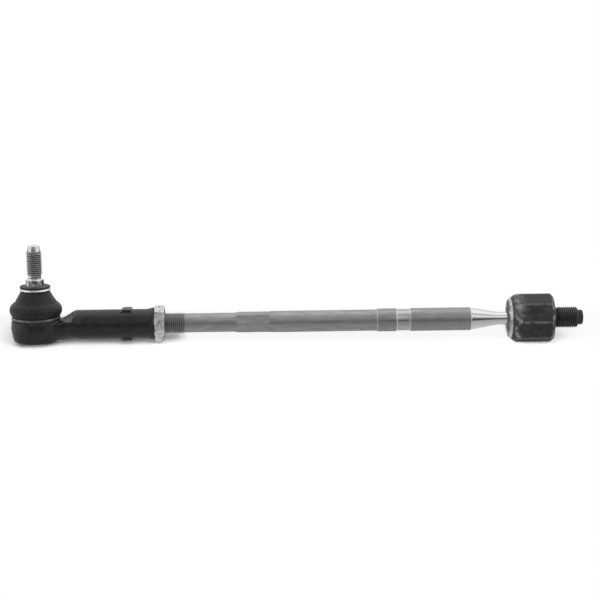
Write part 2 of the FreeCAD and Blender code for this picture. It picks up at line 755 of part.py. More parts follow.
def make_inner_housing():
    """Forged octagon with the inner ball socket, its rolled lip, and the stud threaded into the rack."""
    body = new_body("inner_housing")
    centre = INNER_CENTRE
    reach = size("inner_seat_reach")
    gap = size("ball_clearance")
    sketch = new_sketch(body, "octagon", "YZ_Plane", LIP_START)
    draw(sketch, polygon_corners(OCTAGON_SIDES, size("octagon_across_flats"), OCTAGON_TURN))
    extruded(body, "forged_octagon", sketch, size("lip_reach") + size("octagon_reach"))
    lip_round = size("lip_round")
    lip_edge = size("lip_edge_radius")
    stock_radius = OCTAGON_CORNER + CUT_MARGIN
    outside = [
        (LIP_START - CUT_MARGIN, lip_edge - lip_round),
        (LIP_START, lip_edge - lip_round, Arc(lip_round, -1)),
        (LIP_START + lip_round, lip_edge),
        (LIP_START + size("lip_length"), size("lip_foot_radius"), Arc(size("shoulder_arc"), -1)),
        (SHOULDER_END, OCTAGON_CORNER),
        (SHOULDER_END, stock_radius),
        (LIP_START - CUT_MARGIN, stock_radius),
    ]
    turned(body, "rolled_shoulder", outside, "H_Axis", "Groove")
    face_radius = size("octagon_across_flats") / 2 - size("octagon_face_inset")
    chamfer = [
        (OCTAGON_END + CUT_MARGIN, face_radius),
        (OCTAGON_END, face_radius),
        (OCTAGON_END - size("octagon_chamfer_length"), OCTAGON_CORNER),
        (OCTAGON_END - size("octagon_chamfer_length"), stock_radius),
        (OCTAGON_END + CUT_MARGIN, stock_radius),
    ]
    turned(body, "end_chamfer", chamfer, "H_Axis", "Groove")
    thread = size("rack_thread_radius")
    pilot = size("rack_pilot_radius")
    stud = [
        (OCTAGON_END, ZERO),
        (OCTAGON_END, thread),
        (RACK_THREAD_END, thread),
        (RACK_THREAD_END + size("rack_thread_chamfer"), thread - size("rack_thread_chamfer")),
        (RACK_THREAD_END + size("rack_thread_chamfer"), pilot),
        (RACK_TIP - size("rack_pilot_chamfer"), pilot),
        (RACK_TIP, pilot - size("rack_pilot_chamfer")),
        (RACK_TIP, ZERO),
    ]
    turned(body, "rack_stud", stud, "H_Axis")
    floor = centre + INNER_SEAT_INSIDE + size("inner_seat_floor") + gap
    throat = centre - reach - gap
    socket = [
        (LIP_START - CUT_MARGIN, ZERO),
        (LIP_START - CUT_MARGIN, size("lip_mouth_radius")),
        (LIP_START, size("lip_mouth_radius")),
        (throat, size("throat_radius")),
        (throat, chord_height(INNER_SOCKET_RADIUS, reach + gap), Arc(INNER_SOCKET_RADIUS, -1)),
        (centre, INNER_SOCKET_RADIUS),
        (centre + INNER_SEAT_INSIDE / 2 + gap, INNER_SOCKET_RADIUS),
        (floor, INNER_SEAT_OUTSIDE / 2 + gap),
        (floor, ZERO),
    ]
    turned(body, "socket", socket, "H_Axis", "Groove")
    return body


def boot_bulge_centre():
    """Centre of the boot's round bulge, on the side away from the rod."""
    foot = FreeCAD.Vector(BOOT_FOOT_RADIUS.number, 0, SIZES["boot_foot_height"])
    crease = FreeCAD.Vector(SIZES["boot_crease_radius"], 0, SIZES["boot_crease_height"])
    chord = crease - foot
    reach = math.sqrt(SIZES["boot_bulge_arc"] ** 2 - (chord.Length / 2) ** 2)
    centre = (foot + crease) * 0.5 + FreeCAD.Vector(-chord.z, 0, chord.x).normalize() * reach
    return FreeCAD.Vector(-centre.x, 0, centre.z)


def rest_placement():
    """Lay the tie rod down: the closing plate's outer edge and the octagon's lowest edge meet the floor."""
    foot_x = SIZES["plate_bend"] - SIZES["plate_cup_radius"]
    foot = FreeCAD.Vector(foot_x, 0, -SIZES["plate_cup_depth"])
    edge = FreeCAD.Vector(SHOULDER_END.number, 0, -OCTAGON_CORNER.number)
    angle = math.degrees(math.atan2(foot.z - edge.z, edge.x - foot.x))
    turn = FreeCAD.Rotation(FreeCAD.Vector(0, -1, 0), angle)
    left = turn.multVec(boot_bulge_centre()).x - SIZES["boot_bulge_arc"]
    right = turn.multVec(FreeCAD.Vector(RACK_TIP.number, 0, 0)).x
    shift = FreeCAD.Vector(-(left + right) / 2, 0, -turn.multVec(foot).z)
    return FreeCAD.Placement(shift, turn)


bodies = [
    make_outer_housing(),
    make_closing_plate(),
    make_outer_ball_seat(),
    make_ball_stud(),
    make_dust_boot(),
    make_ring("boot_top_ring", UPPER_GROOVE_RADIUS, UPPER_RING_FOOT, "upper_ring"),
    make_ring("boot_bottom_ring", BEAD_OUTSIDE, LOWER_RING_FOOT, "lower_ring"),
    make_lock_nut(),
    make_rod(),
    make_inner_ball_seat(),
    make_inner_housing(),
]
doc.recompute()

rest = rest_placement()
for body in bodies:
    body.Placement = rest
doc.recompute()

for item in doc.Objects:
    if "Invalid" in item.State or "Error" in item.State:
        raise RuntimeError(f"{item.Name} failed: {item.State}")
for body in bodies:
    shape = body.Shape
    if shape.isNull() or not shape.isValid() or len(shape.Solids) != 1:
        raise RuntimeError(f"{body.Label} is not one valid solid")
    shape.exportStep(f"parts/{body.Label}.step")
    box = shape.BoundBox
    print(f"{body.Label}: {box.XLength:.1f} x {box.YLength:.1f} x {box.ZLength:.1f} mm,",
          f"volume {shape.Volume:.0f} mm3")
print("placement:", rest)
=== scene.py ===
# %% [markdown]
# # A steering tie rod, dressed for a studio picture
# A tie rod links a car's steering rack to its front wheel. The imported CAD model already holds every
# piece at its true place. This lesson gives each piece the small shapes and the surface that the real
# one has: rolled threads, a forged hexagon, a rubber boot, black coating and polished steel.
# Everything could be done with modifiers on the CAD meshes, but their triangles follow flat faces and
# shade badly close up. So most pieces are built again as clean grids of rings, from the same sizes.

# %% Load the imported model
import json
import math

import bmesh
import bpy
import numpy as np
from mathutils import Matrix, Vector


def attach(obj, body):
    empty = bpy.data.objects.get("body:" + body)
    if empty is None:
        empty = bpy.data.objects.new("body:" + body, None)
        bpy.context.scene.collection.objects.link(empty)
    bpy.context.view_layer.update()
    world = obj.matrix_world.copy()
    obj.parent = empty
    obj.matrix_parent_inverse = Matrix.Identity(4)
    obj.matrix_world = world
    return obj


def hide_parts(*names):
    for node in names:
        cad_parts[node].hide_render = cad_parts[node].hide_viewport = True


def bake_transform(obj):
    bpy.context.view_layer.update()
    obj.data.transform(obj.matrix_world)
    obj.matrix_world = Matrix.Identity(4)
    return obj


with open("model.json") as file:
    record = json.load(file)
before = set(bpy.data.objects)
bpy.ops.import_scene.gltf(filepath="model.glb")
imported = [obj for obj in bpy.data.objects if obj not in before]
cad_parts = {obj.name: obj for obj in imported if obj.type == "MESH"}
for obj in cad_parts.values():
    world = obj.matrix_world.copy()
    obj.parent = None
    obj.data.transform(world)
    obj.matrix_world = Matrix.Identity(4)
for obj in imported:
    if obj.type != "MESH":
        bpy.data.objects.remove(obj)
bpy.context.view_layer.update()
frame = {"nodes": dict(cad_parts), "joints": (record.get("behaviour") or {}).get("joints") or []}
print("CAD nodes:", sorted(frame["nodes"]))

# %% [markdown]
# ## The rod's own axes
# The tie rod lies on the floor a little out of level, so its axis is not quite the world's X. It is
# simpler to draw in the rod's own frame, where the outer ball is at zero, X runs along the rod and Z
# up the stud, and to lay each piece down with one matrix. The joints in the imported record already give
# these axes, so no angle is typed in twice.

# %% Read the rod's axes from its joints
MM = 0.001
joints = {joint["name"]: joint for joint in frame["joints"]}
rod_axis = Vector(joints["sleeve_thread"]["axis"]).normalized()
stud_axis = Vector(joints["stud_azimuth"]["axis"]).normalized()
ball_centre = Vector(joints["stud_azimuth"]["pos_m"])
lay = Matrix((rod_axis, stud_axis.cross(rod_axis), stud_axis)).transposed().to_4x4()
lay.translation = ball_centre
INNER_CENTRE = (Vector(joints["inner_spin"]["pos_m"]) - ball_centre).length / MM
print("slope of the rod, degrees:", round(math.degrees(math.asin(rod_axis.z)), 3))
print("ball to ball, mm:", round(INNER_CENTRE, 2))

# %% [markdown]
# ## Rings into skins
# Nearly every piece here was turned, rolled or forged round one axis, so its surface is a stack of
# rings. The Screw modifier could spin an outline, but it can't make a hexagon or a helix. A grid can:
# each row is one ring, and both its height and its radius may change with the angle. The last column
# repeats the first one, and merging the doubles closes the seam, also where a thread has climbed by
# one pitch on its way round.

# %% A skin from rows of rings
SEAM = 0.002 * MM


def skin(name, rows, axis, angles, closed=False):
    """Join rows of (distance, radius) in millimetres, round the rod or the stud, into one mesh."""
    rings = []
    for along, radius in rows:
        along = np.broadcast_to(along, angles.shape)
        side, rise = radius * np.cos(angles), radius * np.sin(angles)
        rings.append(np.stack([along, -side, rise] if axis == "rod" else [side, rise, along], 1))
    if closed:
        rings.append(rings[0])
    grid = np.stack(rings) * MM
    count, columns = grid.shape[:2]
    first = np.arange((count - 1) * columns).reshape(count - 1, columns)[:, :-1].ravel()
    faces = np.stack([first, first + 1, first + columns + 1, first + columns], 1)
    mesh = bpy.data.meshes.new(name)
    mesh.from_pydata(grid.reshape(-1, 3).tolist(), [], faces.tolist())
    work = bmesh.new()
    work.from_mesh(mesh)
    bmesh.ops.remove_doubles(work, verts=work.verts, dist=SEAM)
    bmesh.ops.recalc_face_normals(work, faces=work.faces)
    work.to_mesh(mesh)
    work.free()
    return mesh


def round_angles(sectors, steps, turn=0.0):
    """Angles once round, crowded at the corners between sectors, where an edge needs them."""
    crowded = 0.5 - 0.5 * np.cos(np.pi * np.arange(steps) / steps)
    angles = (np.arange(sectors)[:, None] + crowded) * 2 * np.pi / sectors
    return math.radians(turn) + np.append(angles.ravel(), 2 * np.pi)


# %% [markdown]
# ## Outlines with real corners
# No real edge is perfectly sharp. A lathe tool leaves a tenth of a millimetre, a forging die far more,
# and that small round is what catches the light. Each corner of an outline therefore carries its own
# round, and longer curves are true arcs between two points, as in the CAD sketches.

# %% Outlines
SHARE_OF_RUN = 0.45


def bend(start, end, radius, side, steps=8):
    """Points of a true arc from start to end. Side 1 has its centre on the left of the way."""
    start, end = np.array(start, float), np.array(end, float)
    chord = end - start
    length = np.hypot(*chord)
    normal = np.array([-chord[1], chord[0]]) / length * side
    centre = (start + end) / 2 + normal * math.sqrt(max(radius ** 2 - length ** 2 / 4, 0.0))
    first = math.atan2(*(start - centre)[::-1])
    swing = (math.atan2(*(end - centre)[::-1]) - first + math.pi) % (2 * math.pi) - math.pi
    turns = first + swing * np.linspace(0, 1, steps + 1)
    return [(centre[0] + radius * math.cos(t), centre[1] + radius * math.sin(t)) for t in turns]


def eased(corners, steps=4):
    """Round every corner given as (distance, radius, round), and keep the plain points as they are."""
    outline = []
    for index, corner in enumerate(corners):
        here = np.array(corner[:2], float)
        if len(corner) == 2:
            outline.append(tuple(here))
            continue
        before = np.array(corners[index - 1][:2], float) - here
        after = np.array(corners[(index + 1) % len(corners)][:2], float) - here
        reach = min(corner[2], np.hypot(*before) * SHARE_OF_RUN, np.hypot(*after) * SHARE_OF_RUN)
        start = here + before / np.hypot(*before) * reach
        end = here + after / np.hypot(*after) * reach
        for t in np.linspace(0, 1, steps + 1):
            outline.append(tuple((1 - t) ** 2 * start + 2 * t * (1 - t) * here + t ** 2 * end))
    return outline


# %% [markdown]
# ## A helix that is really a helix
# The threads are rolled: hard dies press the groove into the bar, so crest and root are smooth. Plain
# rings would look like a thread from far away and wrong from near, as they never climb. Here the rows
# climb with the angle by one pitch a turn, so each crest is one unbroken edge loop. At both ends the
# rows are held at the end face and cut down by the chamfer, and so they run out as on the real part.

# %% Rolled threads
PITCH = 1.5
THREAD_DEPTH = 0.6134 * PITCH
M16_CREST, M12_CREST = 8.0, 6.0
# One pitch of the profile: how far along it, and what share of the depth.
THREAD_PROFILE = [(0.0, 0.04), (0.06, 0.0), (0.125, 0.04), (0.28, 0.5), (0.4375, 0.96),
                  (0.56, 1.0), (0.6875, 0.96), (0.84, 0.5)]


def thread_rows(start, end, crest, chamfers, angles, hand=1):
    """Rows of a thread from start to end, cut down at both ends by its two chamfers."""
    climb = hand * PITCH * (angles - angles[0]) / (2 * np.pi)
    laps = math.ceil((end - start) / PITCH) + 1
    rows = []
    for lap in range(-1, laps + 1):
        for share, depth in THREAD_PROFILE:
            along = np.clip(start + (lap + share) * PITCH + climb, start, end)
            cone = crest + np.minimum(along - start - chamfers[0], end - along - chamfers[1])
            rows.append((along, np.minimum(crest - THREAD_DEPTH * depth, cone)))
    return rows


print("thread depth, mm:", round(THREAD_DEPTH, 3))

# %% [markdown]
# ## Forged and rolled polygons
# The wrench hexagon, the nut and the octagonal housing are polygons with softened corners. A bevel
# modifier could round them, but it fails where a polygon fades into a round shaft. A formula doesn't:
# it adds the reach of every face to a high power, and a lower power gives rounder corners, as a worn
# forging die does. Faces turned away have no reach, so they are held just above zero.

# %% Polygon radius at each angle
NO_REACH = 0.001


def polygon(angles, sides, across_flats, turn, crispness):
    """Radius at each angle of a polygon whose first corner is at the turn, in degrees."""
    faces = math.radians(turn) + (np.arange(sides) + 0.5) * 2 * np.pi / sides
    reach = np.clip(np.cos(angles[:, None] - faces), NO_REACH, None) * 2 / across_flats
    return (reach ** crispness).sum(1) ** (-1 / crispness)


# %% [markdown]
# ## Putting a piece on its body
# A piece has to move with its joint. Faces get their finish by how far along the axis they lie, so
# one rod can be rolled, blasted, turned and polished without being cut in pieces.

# %% Place and smooth
SHARP = math.radians(38)


def new_object(name, data):
    """Make an object and put it into the scene."""
    made = bpy.data.objects.new(name, data)
    bpy.context.scene.collection.objects.link(made)
    return made


def place(name, mesh, body, node, finishes=()):
    """Put a mesh drawn in the rod's frame into the scene, as the stand-in for a CAD node."""
    mesh.shade_smooth()
    mesh.set_sharp_from_angle(angle=SHARP)
    piece = new_object(name, mesh)
    piece.matrix_world = lay
    if body:
        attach(piece, body)
    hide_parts(node)
    mesh.materials.clear()
    for finish in finishes:
        mesh.materials.append(finish)
    print(name, len(mesh.vertices), "points,", len(mesh.polygons), "faces")
    return piece


# %% Dress by place along the axis
def read(items, name):
    """Read three numbers from every point or face of a mesh, one row each."""
    values = np.empty(len(items) * 3)
    items.foreach_get(name, values)
    return values.reshape(-1, 3)


def dress(piece, axis, zones):
    """Give the faces their finishes: each zone is (where it ends along the axis in mm, material)."""
    mesh = piece.data
    finishes = []
    for _, finish in zones:
        if finish not in finishes:
            finishes.append(finish)
            mesh.materials.append(finish)
    along = read(mesh.polygons, "center")[:, axis] / MM
    ends = np.array([end for end, _ in zones[:-1]])
    table = np.array([finishes.index(finish) for _, finish in zones])
    mesh.polygons.foreach_set("material_index", table[np.searchsorted(ends, along)].astype(np.int32))


# %% [markdown]
# ## A small kit for finishes
# A finish is a network of nodes. One function adds any node with its settings and links, and gives the
# output that the next node needs, so that each finish below reads as a short list. Colours are written
# as they look on a screen, and one function turns them to the linear values that light works with.
# Pattern sizes are given in millimetres of the real surface and turned to a texture scale in one way.

# %% Node, colour and scale helpers
def add(tree, kind, settings, result=0):
    """Add a node. A setting is a socket or a property, and an output given as its value is linked."""
    made = tree.nodes.new("ShaderNode" + kind)
    for name, value in settings.items():
        if not isinstance(name, int) and name not in made.inputs:
            setattr(made, name, value)
        elif isinstance(value, bpy.types.NodeSocket):
            tree.links.new(value, made.inputs[name])
        else:
            made.inputs[name].default_value = value
    return made.outputs[result] if len(made.outputs) else None


def linear(code):
    """A colour written as sRGB hex, as the linear colour of a shader."""
    parts = [int(code[i:i + 2], 16) / 255 for i in (1, 3, 5)]
    return tuple(p / 12.92 if p <= 0.04045 else ((p + 0.055) / 1.055) ** 2.4 for p in parts) + (1.0,)


def grain(size_mm):
    """Texture scale at which one feature of a pattern is that many millimetres wide."""
    return 1 / (size_mm * MM)


# %% Start, colour and connect a finish
def new_finish(name, roughness, metallic=0.0, shine=0.5):
    """Start a finish. Gives the material, its tree, its shader's sockets and the place on the piece."""
    finish = bpy.data.materials.new(name)
    finish.use_nodes = True
    sockets = finish.node_tree.nodes["Principled BSDF"].inputs
    sockets["Roughness"].default_value = roughness
    sockets["Metallic"].default_value = metallic
    sockets["Specular IOR Level"].default_value = shine
    where = add(finish.node_tree, "TexCoord", {}, "Object")
    return finish, finish.node_tree, sockets, where


def two_tones(tree, pattern, start, end, dark, pale):
    """Spread a pattern between two of its values and mix two tones by it. Gives the share and the tone."""
    share = add(tree, "MapRange", {"Value": pattern, "From Min": start, "From Max": end})
    tint = add(tree, "Mix", {"data_type": "RGBA", 0: share, 6: linear(dark), 7: linear(pale)}, 2)
    return share, tint


def connect(tree, sockets, outputs):
    """Link outputs to the shader's sockets, each by its socket's name."""
    for name, output in outputs.items():
        tree.links.new(output, sockets[name])


# %% [markdown]
# ## Black dip coating over a forging
# The outer housing is drop forged, shot blasted and then dipped in black electrophoretic primer. It
# looks satin black and a little cloudy, pebbled from the blasting. An image texture would need
# unwrapping, so it is procedural: clouds of 5 mm in the tone and two grains in the bump. Real blasting
# pits are near 0.3 mm, as the finer grain is, and the coarser one, of 0.9 mm, is drawn so that it
# shows. Convex edges are chipped to steel, and a few specks shine. The neck's facets are painted
# lighter, steel-grey in patches, as a painted highlight.

# %% Coated forging
def coated_forging():
    finish, tree, sockets, where = new_finish("black_dip_coated_forging", 0.36)
    waves, pebble, blast, chips, grit = [
        add(tree, "TexNoise", {"Vector": where, "Scale": grain(size_mm), "Detail": detail})
        for size_mm, detail in ((5.0, 3.0), (0.9, 4.0), (0.3, 3.0), (1.6, 5.0), (1.1, 1.0))]
    _, tint = two_tones(tree, waves, 0.35, 0.65, "#080809", "#1b1b1c")
    # The wear attribute also holds a painted highlight: the neck's facets are painted lighter.
    read_wear_and_highlight = add(tree, "Attribute", {"attribute_name": "wear_and_highlight"}, "Fac")
    patch = add(tree, "MapRange", {"Value": chips, "From Min": 0.46, "From Max": 0.66, "To Max": 0.7})
    specks = add(tree, "MapRange", {"Value": grit, "From Min": 0.74, "From Max": 0.80, "To Max": 0.5})
    worn_and_highlight = add(tree, "Math", {"operation": "MULTIPLY", 0: read_wear_and_highlight, 1: patch})
    worn_and_highlight = add(tree, "Math", {"operation": "MAXIMUM", 0: worn_and_highlight, 1: specks})
    colour = add(tree, "Mix", {"data_type": "RGBA", 0: worn_and_highlight, 6: tint, 7: linear("#8c8c8c")}, 2)
    rough = add(tree, "MapRange", {"Value": pebble, "From Min": 0.3, "From Max": 0.7,
                                   "To Min": 0.28, "To Max": 0.44})
    coarse = add(tree, "Bump", {"Height": pebble, "Distance": 0.14 * MM, "Strength": 0.6})
    fine = add(tree, "Bump", {"Height": blast, "Distance": 0.03 * MM, "Strength": 0.5, "Normal": coarse})
    connect(tree, sockets, {"Base Color": colour, "Roughness": rough, "Metallic": worn_and_highlight, "Normal": fine})
    return finish


# %% [markdown]
# ## Phosphate on a forging
# The inner housing is forged and machined, then phosphated and oiled. Phosphate grows as fine crystals,
# so the surface is nearly matt, near-black with grey clouds of 3 mm drawn out along the axis, where
# the oil drained. Typical roughness is near 0.5. It rubs off in scuffs of 4 mm, which shine, and on
# the upper side of the dome the same scuffs are a painted highlight. Real crystals are far too fine
# to show, so they are drawn 0.6 mm wide.

# %% Phosphated forging
def phosphated_forging():
    finish, tree, sockets, where = new_finish("oiled_phosphate_on_steel", 0.5, shine=0.45)
    drawn = add(tree, "Mapping", {"Vector": where, "Scale": (0.55, 1, 1)})
    cloud = add(tree, "TexNoise", {"Vector": drawn, "Scale": grain(3.2), "Detail": 5.0})
    crystals = add(tree, "TexNoise", {"Vector": where, "Scale": grain(0.6), "Detail": 4.0})
    scuffs = add(tree, "TexNoise", {"Vector": where, "Scale": grain(4.0), "Detail": 6.0})
    _, tint = two_tones(tree, cloud, 0.35, 0.68, "#0e0e0e", "#2c2c2c")
    # The wear attribute also holds a painted highlight on the upper side of the dome.
    read_wear_and_highlight = add(tree, "Attribute", {"attribute_name": "wear_and_highlight"}, "Fac")
    patch = add(tree, "MapRange", {"Value": scuffs, "From Min": 0.36, "From Max": 0.62, "To Max": 0.55})
    worn_and_highlight = add(tree, "Math", {"operation": "MULTIPLY", 0: read_wear_and_highlight, 1: patch})
    colour = add(tree, "Mix", {"data_type": "RGBA", 0: worn_and_highlight, 6: tint, 7: linear("#c0c0c0")}, 2)
    rough = add(tree, "MapRange", {"Value": crystals, "From Min": 0.3, "From Max": 0.7,
                                   "To Min": 0.4, "To Max": 0.58})
    coarse = add(tree, "Bump", {"Height": cloud, "Distance": 0.12 * MM, "Strength": 0.5})
    fine = add(tree, "Bump", {"Height": crystals, "Distance": 0.04 * MM, "Strength": 0.6, "Normal": coarse})
    connect(tree, sockets, {"Base Color": colour, "Roughness": rough, "Metallic": worn_and_highlight, "Normal": fine})
    return finish


# %% [markdown]
# ## Moulded chloroprene rubber
# The dust boot is chloroprene, black from carbon, moulded in a spark-eroded tool. It is soft to look
# at: dark, with a wide weak shine and no sparkle. A roughness between 0.4 and 0.5 gives that, with a
# slow cloud in the colour where talc and handling have greyed it.

# %% Boot rubber
def boot_rubber():
    finish, tree, sockets, where = new_finish("moulded_chloroprene", 0.5, shine=0.4)
    cloud = add(tree, "TexNoise", {"Vector": where, "Scale": grain(4.5), "Detail": 4.0})
    skin_grain = add(tree, "TexNoise", {"Vector": where, "Scale": grain(0.45), "Detail": 3.0})
    share, tint = two_tones(tree, cloud, 0.35, 0.65, "#0b0b0c", "#1e1e20")
    rough = add(tree, "MapRange", {"Value": share, "To Min": 0.40, "To Max": 0.52})
    fine = add(tree, "Bump", {"Height": skin_grain, "Distance": 0.015 * MM, "Strength": 0.5})
    connect(tree, sockets, {"Base Color": tint, "Roughness": rough, "Normal": fine})
    return finish


# %% [markdown]
# ## Clear zinc plate
# The lock nut, the closing plate and the boot's clamp rings are zinc plated, which is pale and blotchy
# where the bath dried. Clean zinc reflects about 60% of the light, and an oiled ring far less. The
# blotches are 2 to 3 mm across and change both colour and roughness, because one without the other
# looks painted on.

# %% Zinc plate
def zinc_plate(name, pale, dark, blotch_mm):
    finish, tree, sockets, where = new_finish(name, 0.4, metallic=1.0)
    drained = add(tree, "Mapping", {"Vector": where, "Scale": (1.3, 1, 0.6)})
    cloud = add(tree, "TexNoise", {"Vector": drained, "Scale": grain(blotch_mm), "Detail": 4.0})
    spangle = add(tree, "TexNoise", {"Vector": where, "Scale": grain(0.5), "Detail": 5.0})
    share, tint = two_tones(tree, cloud, 0.33, 0.50, dark, pale)
    rough = add(tree, "MapRange", {"Value": share, "To Min": 0.5, "To Max": 0.34})
    fine = add(tree, "Bump", {"Height": spangle, "Distance": 0.05 * MM, "Strength": 0.5})
    connect(tree, sockets, {"Base Color": tint, "Roughness": rough, "Normal": fine})
    return finish


# %% [markdown]
# ## Bare steel, one bar and its surfaces
# The rod and the stud are bare steel, and what changes along them is only how each zone was made.
# Steel reflects a little over half of the light, and the maker's last step sets the rest: blasting
# leaves a dull grain, a lathe rings a few tenths of a millimetre apart, and grinding a mirror with
# faint rings. One function makes all of these, from two tones, a roughness and the width and depth of
# the marks. The tones drift in blotches that are drawn out along the axis.

# %% Steel surfaces
def steel(name, pale, dark, roughness, spread, marks_mm, marks_depth, axis, blotch_mm=4.0):
    """Bare steel with tool marks round one axis, of a real width and depth in millimetres."""
    finish, tree, sockets, where = new_finish(name, roughness, metallic=1.0)
    drawn = add(tree, "Mapping", {"Vector": where, "Scale": (1 / 5, 1, 1) if axis == 0 else (1, 1, 1 / 2)})
    cloud = add(tree, "TexNoise", {"Vector": drawn, "Scale": grain(blotch_mm), "Detail": 5.0})
    along = add(tree, "SeparateXYZ", {"Vector": where}, axis)
    marks = add(tree, "TexNoise", {"noise_dimensions": "1D", "W": along, "Scale": grain(marks_mm),
                                   "Detail": 2.0})
    pits = add(tree, "TexNoise", {"Vector": where, "Scale": grain(0.35), "Detail": 3.0})
    share, tint = two_tones(tree, cloud, 0.3, 0.7, dark, pale)
    rough = add(tree, "MapRange", {"Value": share, "To Min": roughness + spread,
                                   "To Max": roughness - spread})
    rings = add(tree, "Bump", {"Height": marks, "Distance": marks_depth * MM, "Strength": 1.0})
    fine = add(tree, "Bump", {"Height": pits, "Distance": marks_depth * MM, "Strength": 0.5, "Normal": rings})
    connect(tree, sockets, {"Base Color": tint, "Roughness": rough, "Normal": fine})
    return finish


# %% [markdown]
# ## Steel on a rolled thread
# The tone is paler at the crest and darker towards the root. The finish measures the radius on the
# piece itself, where stripes painted a pitch apart would slip against the groove.

# %% Thread steel
CREST_BAND = 0.1


def rolled_thread(name, crest, axis, root_tone, crest_tone):
    """Thread steel, paler at the crest and darker towards the root."""
    finish, tree, sockets, where = new_finish(name, 0.36, metallic=1.0)
    parts = [add(tree, "SeparateXYZ", {"Vector": where}, i) for i in range(3) if i != axis]
    flat = add(tree, "CombineXYZ", {0: parts[0], 1: parts[1]})
    radius = add(tree, "VectorMath", {"operation": "LENGTH", 0: flat}, "Value")
    height = add(tree, "MapRange", {"Value": radius, "From Min": (crest - THREAD_DEPTH) * MM,
                                    "From Max": (crest - CREST_BAND) * MM})
    film = add(tree, "TexNoise", {"Vector": where, "Scale": grain(2.0), "Detail": 4.0})
    pits = add(tree, "TexNoise", {"Vector": where, "Scale": grain(0.3), "Detail": 3.0})
    tint = add(tree, "Mix", {"data_type": "RGBA", 0: height, 6: linear(root_tone), 7: linear(crest_tone)}, 2)
    clean = add(tree, "MapRange", {"Value": film, "From Min": 0.3, "From Max": 0.7, "To Min": 0.93})
    oiled = add(tree, "Mix", {"data_type": "RGBA", 0: clean, 6: linear("#3a3a3a"), 7: tint}, 2)
    rough = add(tree, "MapRange", {"Value": height, "To Min": 0.5, "To Max": 0.28})
    fine = add(tree, "Bump", {"Height": pits, "Distance": 0.01 * MM, "Strength": 0.25})
    connect(tree, sockets, {"Base Color": oiled, "Roughness": rough, "Normal": fine})
    return finish


# %% Make the finishes
coating = coated_forging()
phosphate = phosphated_forging()
rubber = boot_rubber()
# Pale and dark tone, and the width of the blotches in mm.
nut_zinc = zinc_plate("zinc_plated_nut", "#dedede", "#848484", 2.4)
ring_zinc = zinc_plate("zinc_plated_clamp_ring", "#fafafa", "#e8e8e8", 3.0)
plate_zinc = zinc_plate("dull_zinc_closing_plate", "#ececec", "#c8c8c8", 3.0)
strip_steel = zinc_plate("oiled_strip_ring", "#848484", "#6c6c6c", 3.0)
# Tones, roughness and its spread, width and depth of the marks in mm, axis, width of the blotches.
shaft_steel = steel("shot_blasted_shaft", "#acacac", "#969696", 0.47, 0.03, 0.5, 0.016, 0, 1.8)
band_steel = steel("turned_band", "#a2a2a2", "#929292", 0.44, 0.03, 0.28, 0.014, 0, 1.8)
groove_steel = steel("fine_turned_groove", "#bebebe", "#aaaaaa", 0.32, 0.04, 0.16, 0.004, 0)
# The chamfer and cut-edge tones are partly fresh-cut steel and partly a painted highlight: pale rings along
# the rod's steps.
chamfer_steel_and_painted_highlight = steel("fresh_cut_chamfer_and_painted_highlight", "#d8d8d8", "#bcbcbc", 0.40, 0.04, 0.2, 0.003, 0)
edge_steel_painted_highlight = steel("cut_edge_with_painted_highlight", "#f6f6f6", "#e4e4e4", 0.5, 0.03, 0.2, 0.003, 0)
polished_steel = steel("polished_taper", "#dedede", "#cecece", 0.12, 0.03, 0.12, 0.0015, 0)
stud_steel = steel("ground_stud", "#eaeaea", "#d8d8d8", 0.11, 0.03, 0.14, 0.002, 2)
lip_steel = steel("turned_lip", "#e4e4e4", "#949494", 0.32, 0.05, 0.2, 0.004, 0, 3.5)
mouth_steel = steel("rough_turned_mouth", "#fafafa", "#cccccc", 0.66, 0.06, 0.3, 0.006, 0, 3.0)
rod_thread = rolled_thread("rolled_rod_thread", M16_CREST, 0, "#848484", "#b4b4b4")
stud_thread = rolled_thread("rolled_stud_thread", M12_CREST, 2, "#666666", "#dedede")
rack_thread = rolled_thread("phosphated_rack_thread", M16_CREST, 0, "#4c4c4c", "#7a7a7a")
print("finishes:", [m.name for m in bpy.data.materials if m.use_nodes])

# %% [markdown]
# ## The rod
# The rod starts as one steel bar. Its left end is rolled with the long adjusting thread, so that the
# track can be set by turning the rod. A hexagon forged in the shaft takes the wrench. Further right
# the bellows seals on the turned groove, and the bar then tapers to the neck of the inner ball. It is
# one skin from end to end. The hexagon fades into round stock by a smooth step between both radii.

# %% Build the rod
ROD_THREAD = (52.0, 112.0)
HEX_TURN, HEX_FLATS = -5.0, 14.0
BLANK, SHAFT, GROOVE, BAND, NECK, INNER_BALL = 7.25, 8.1, 8.15, 8.72, 4.7, 12.7
rod_angles = round_angles(6, 16, HEX_TURN)
hexagon = polygon(rod_angles, 6, HEX_FLATS, HEX_TURN, 70)


def fade(start, end, first, second, steps=9):
    """Rows that change smoothly from one ring to another."""
    rows = []
    for t in np.linspace(0, 1, steps + 1):
        share = t * t * (3 - 2 * t)
        rows.append((start + (end - start) * t, first * (1 - share) + second * share))
    return rows


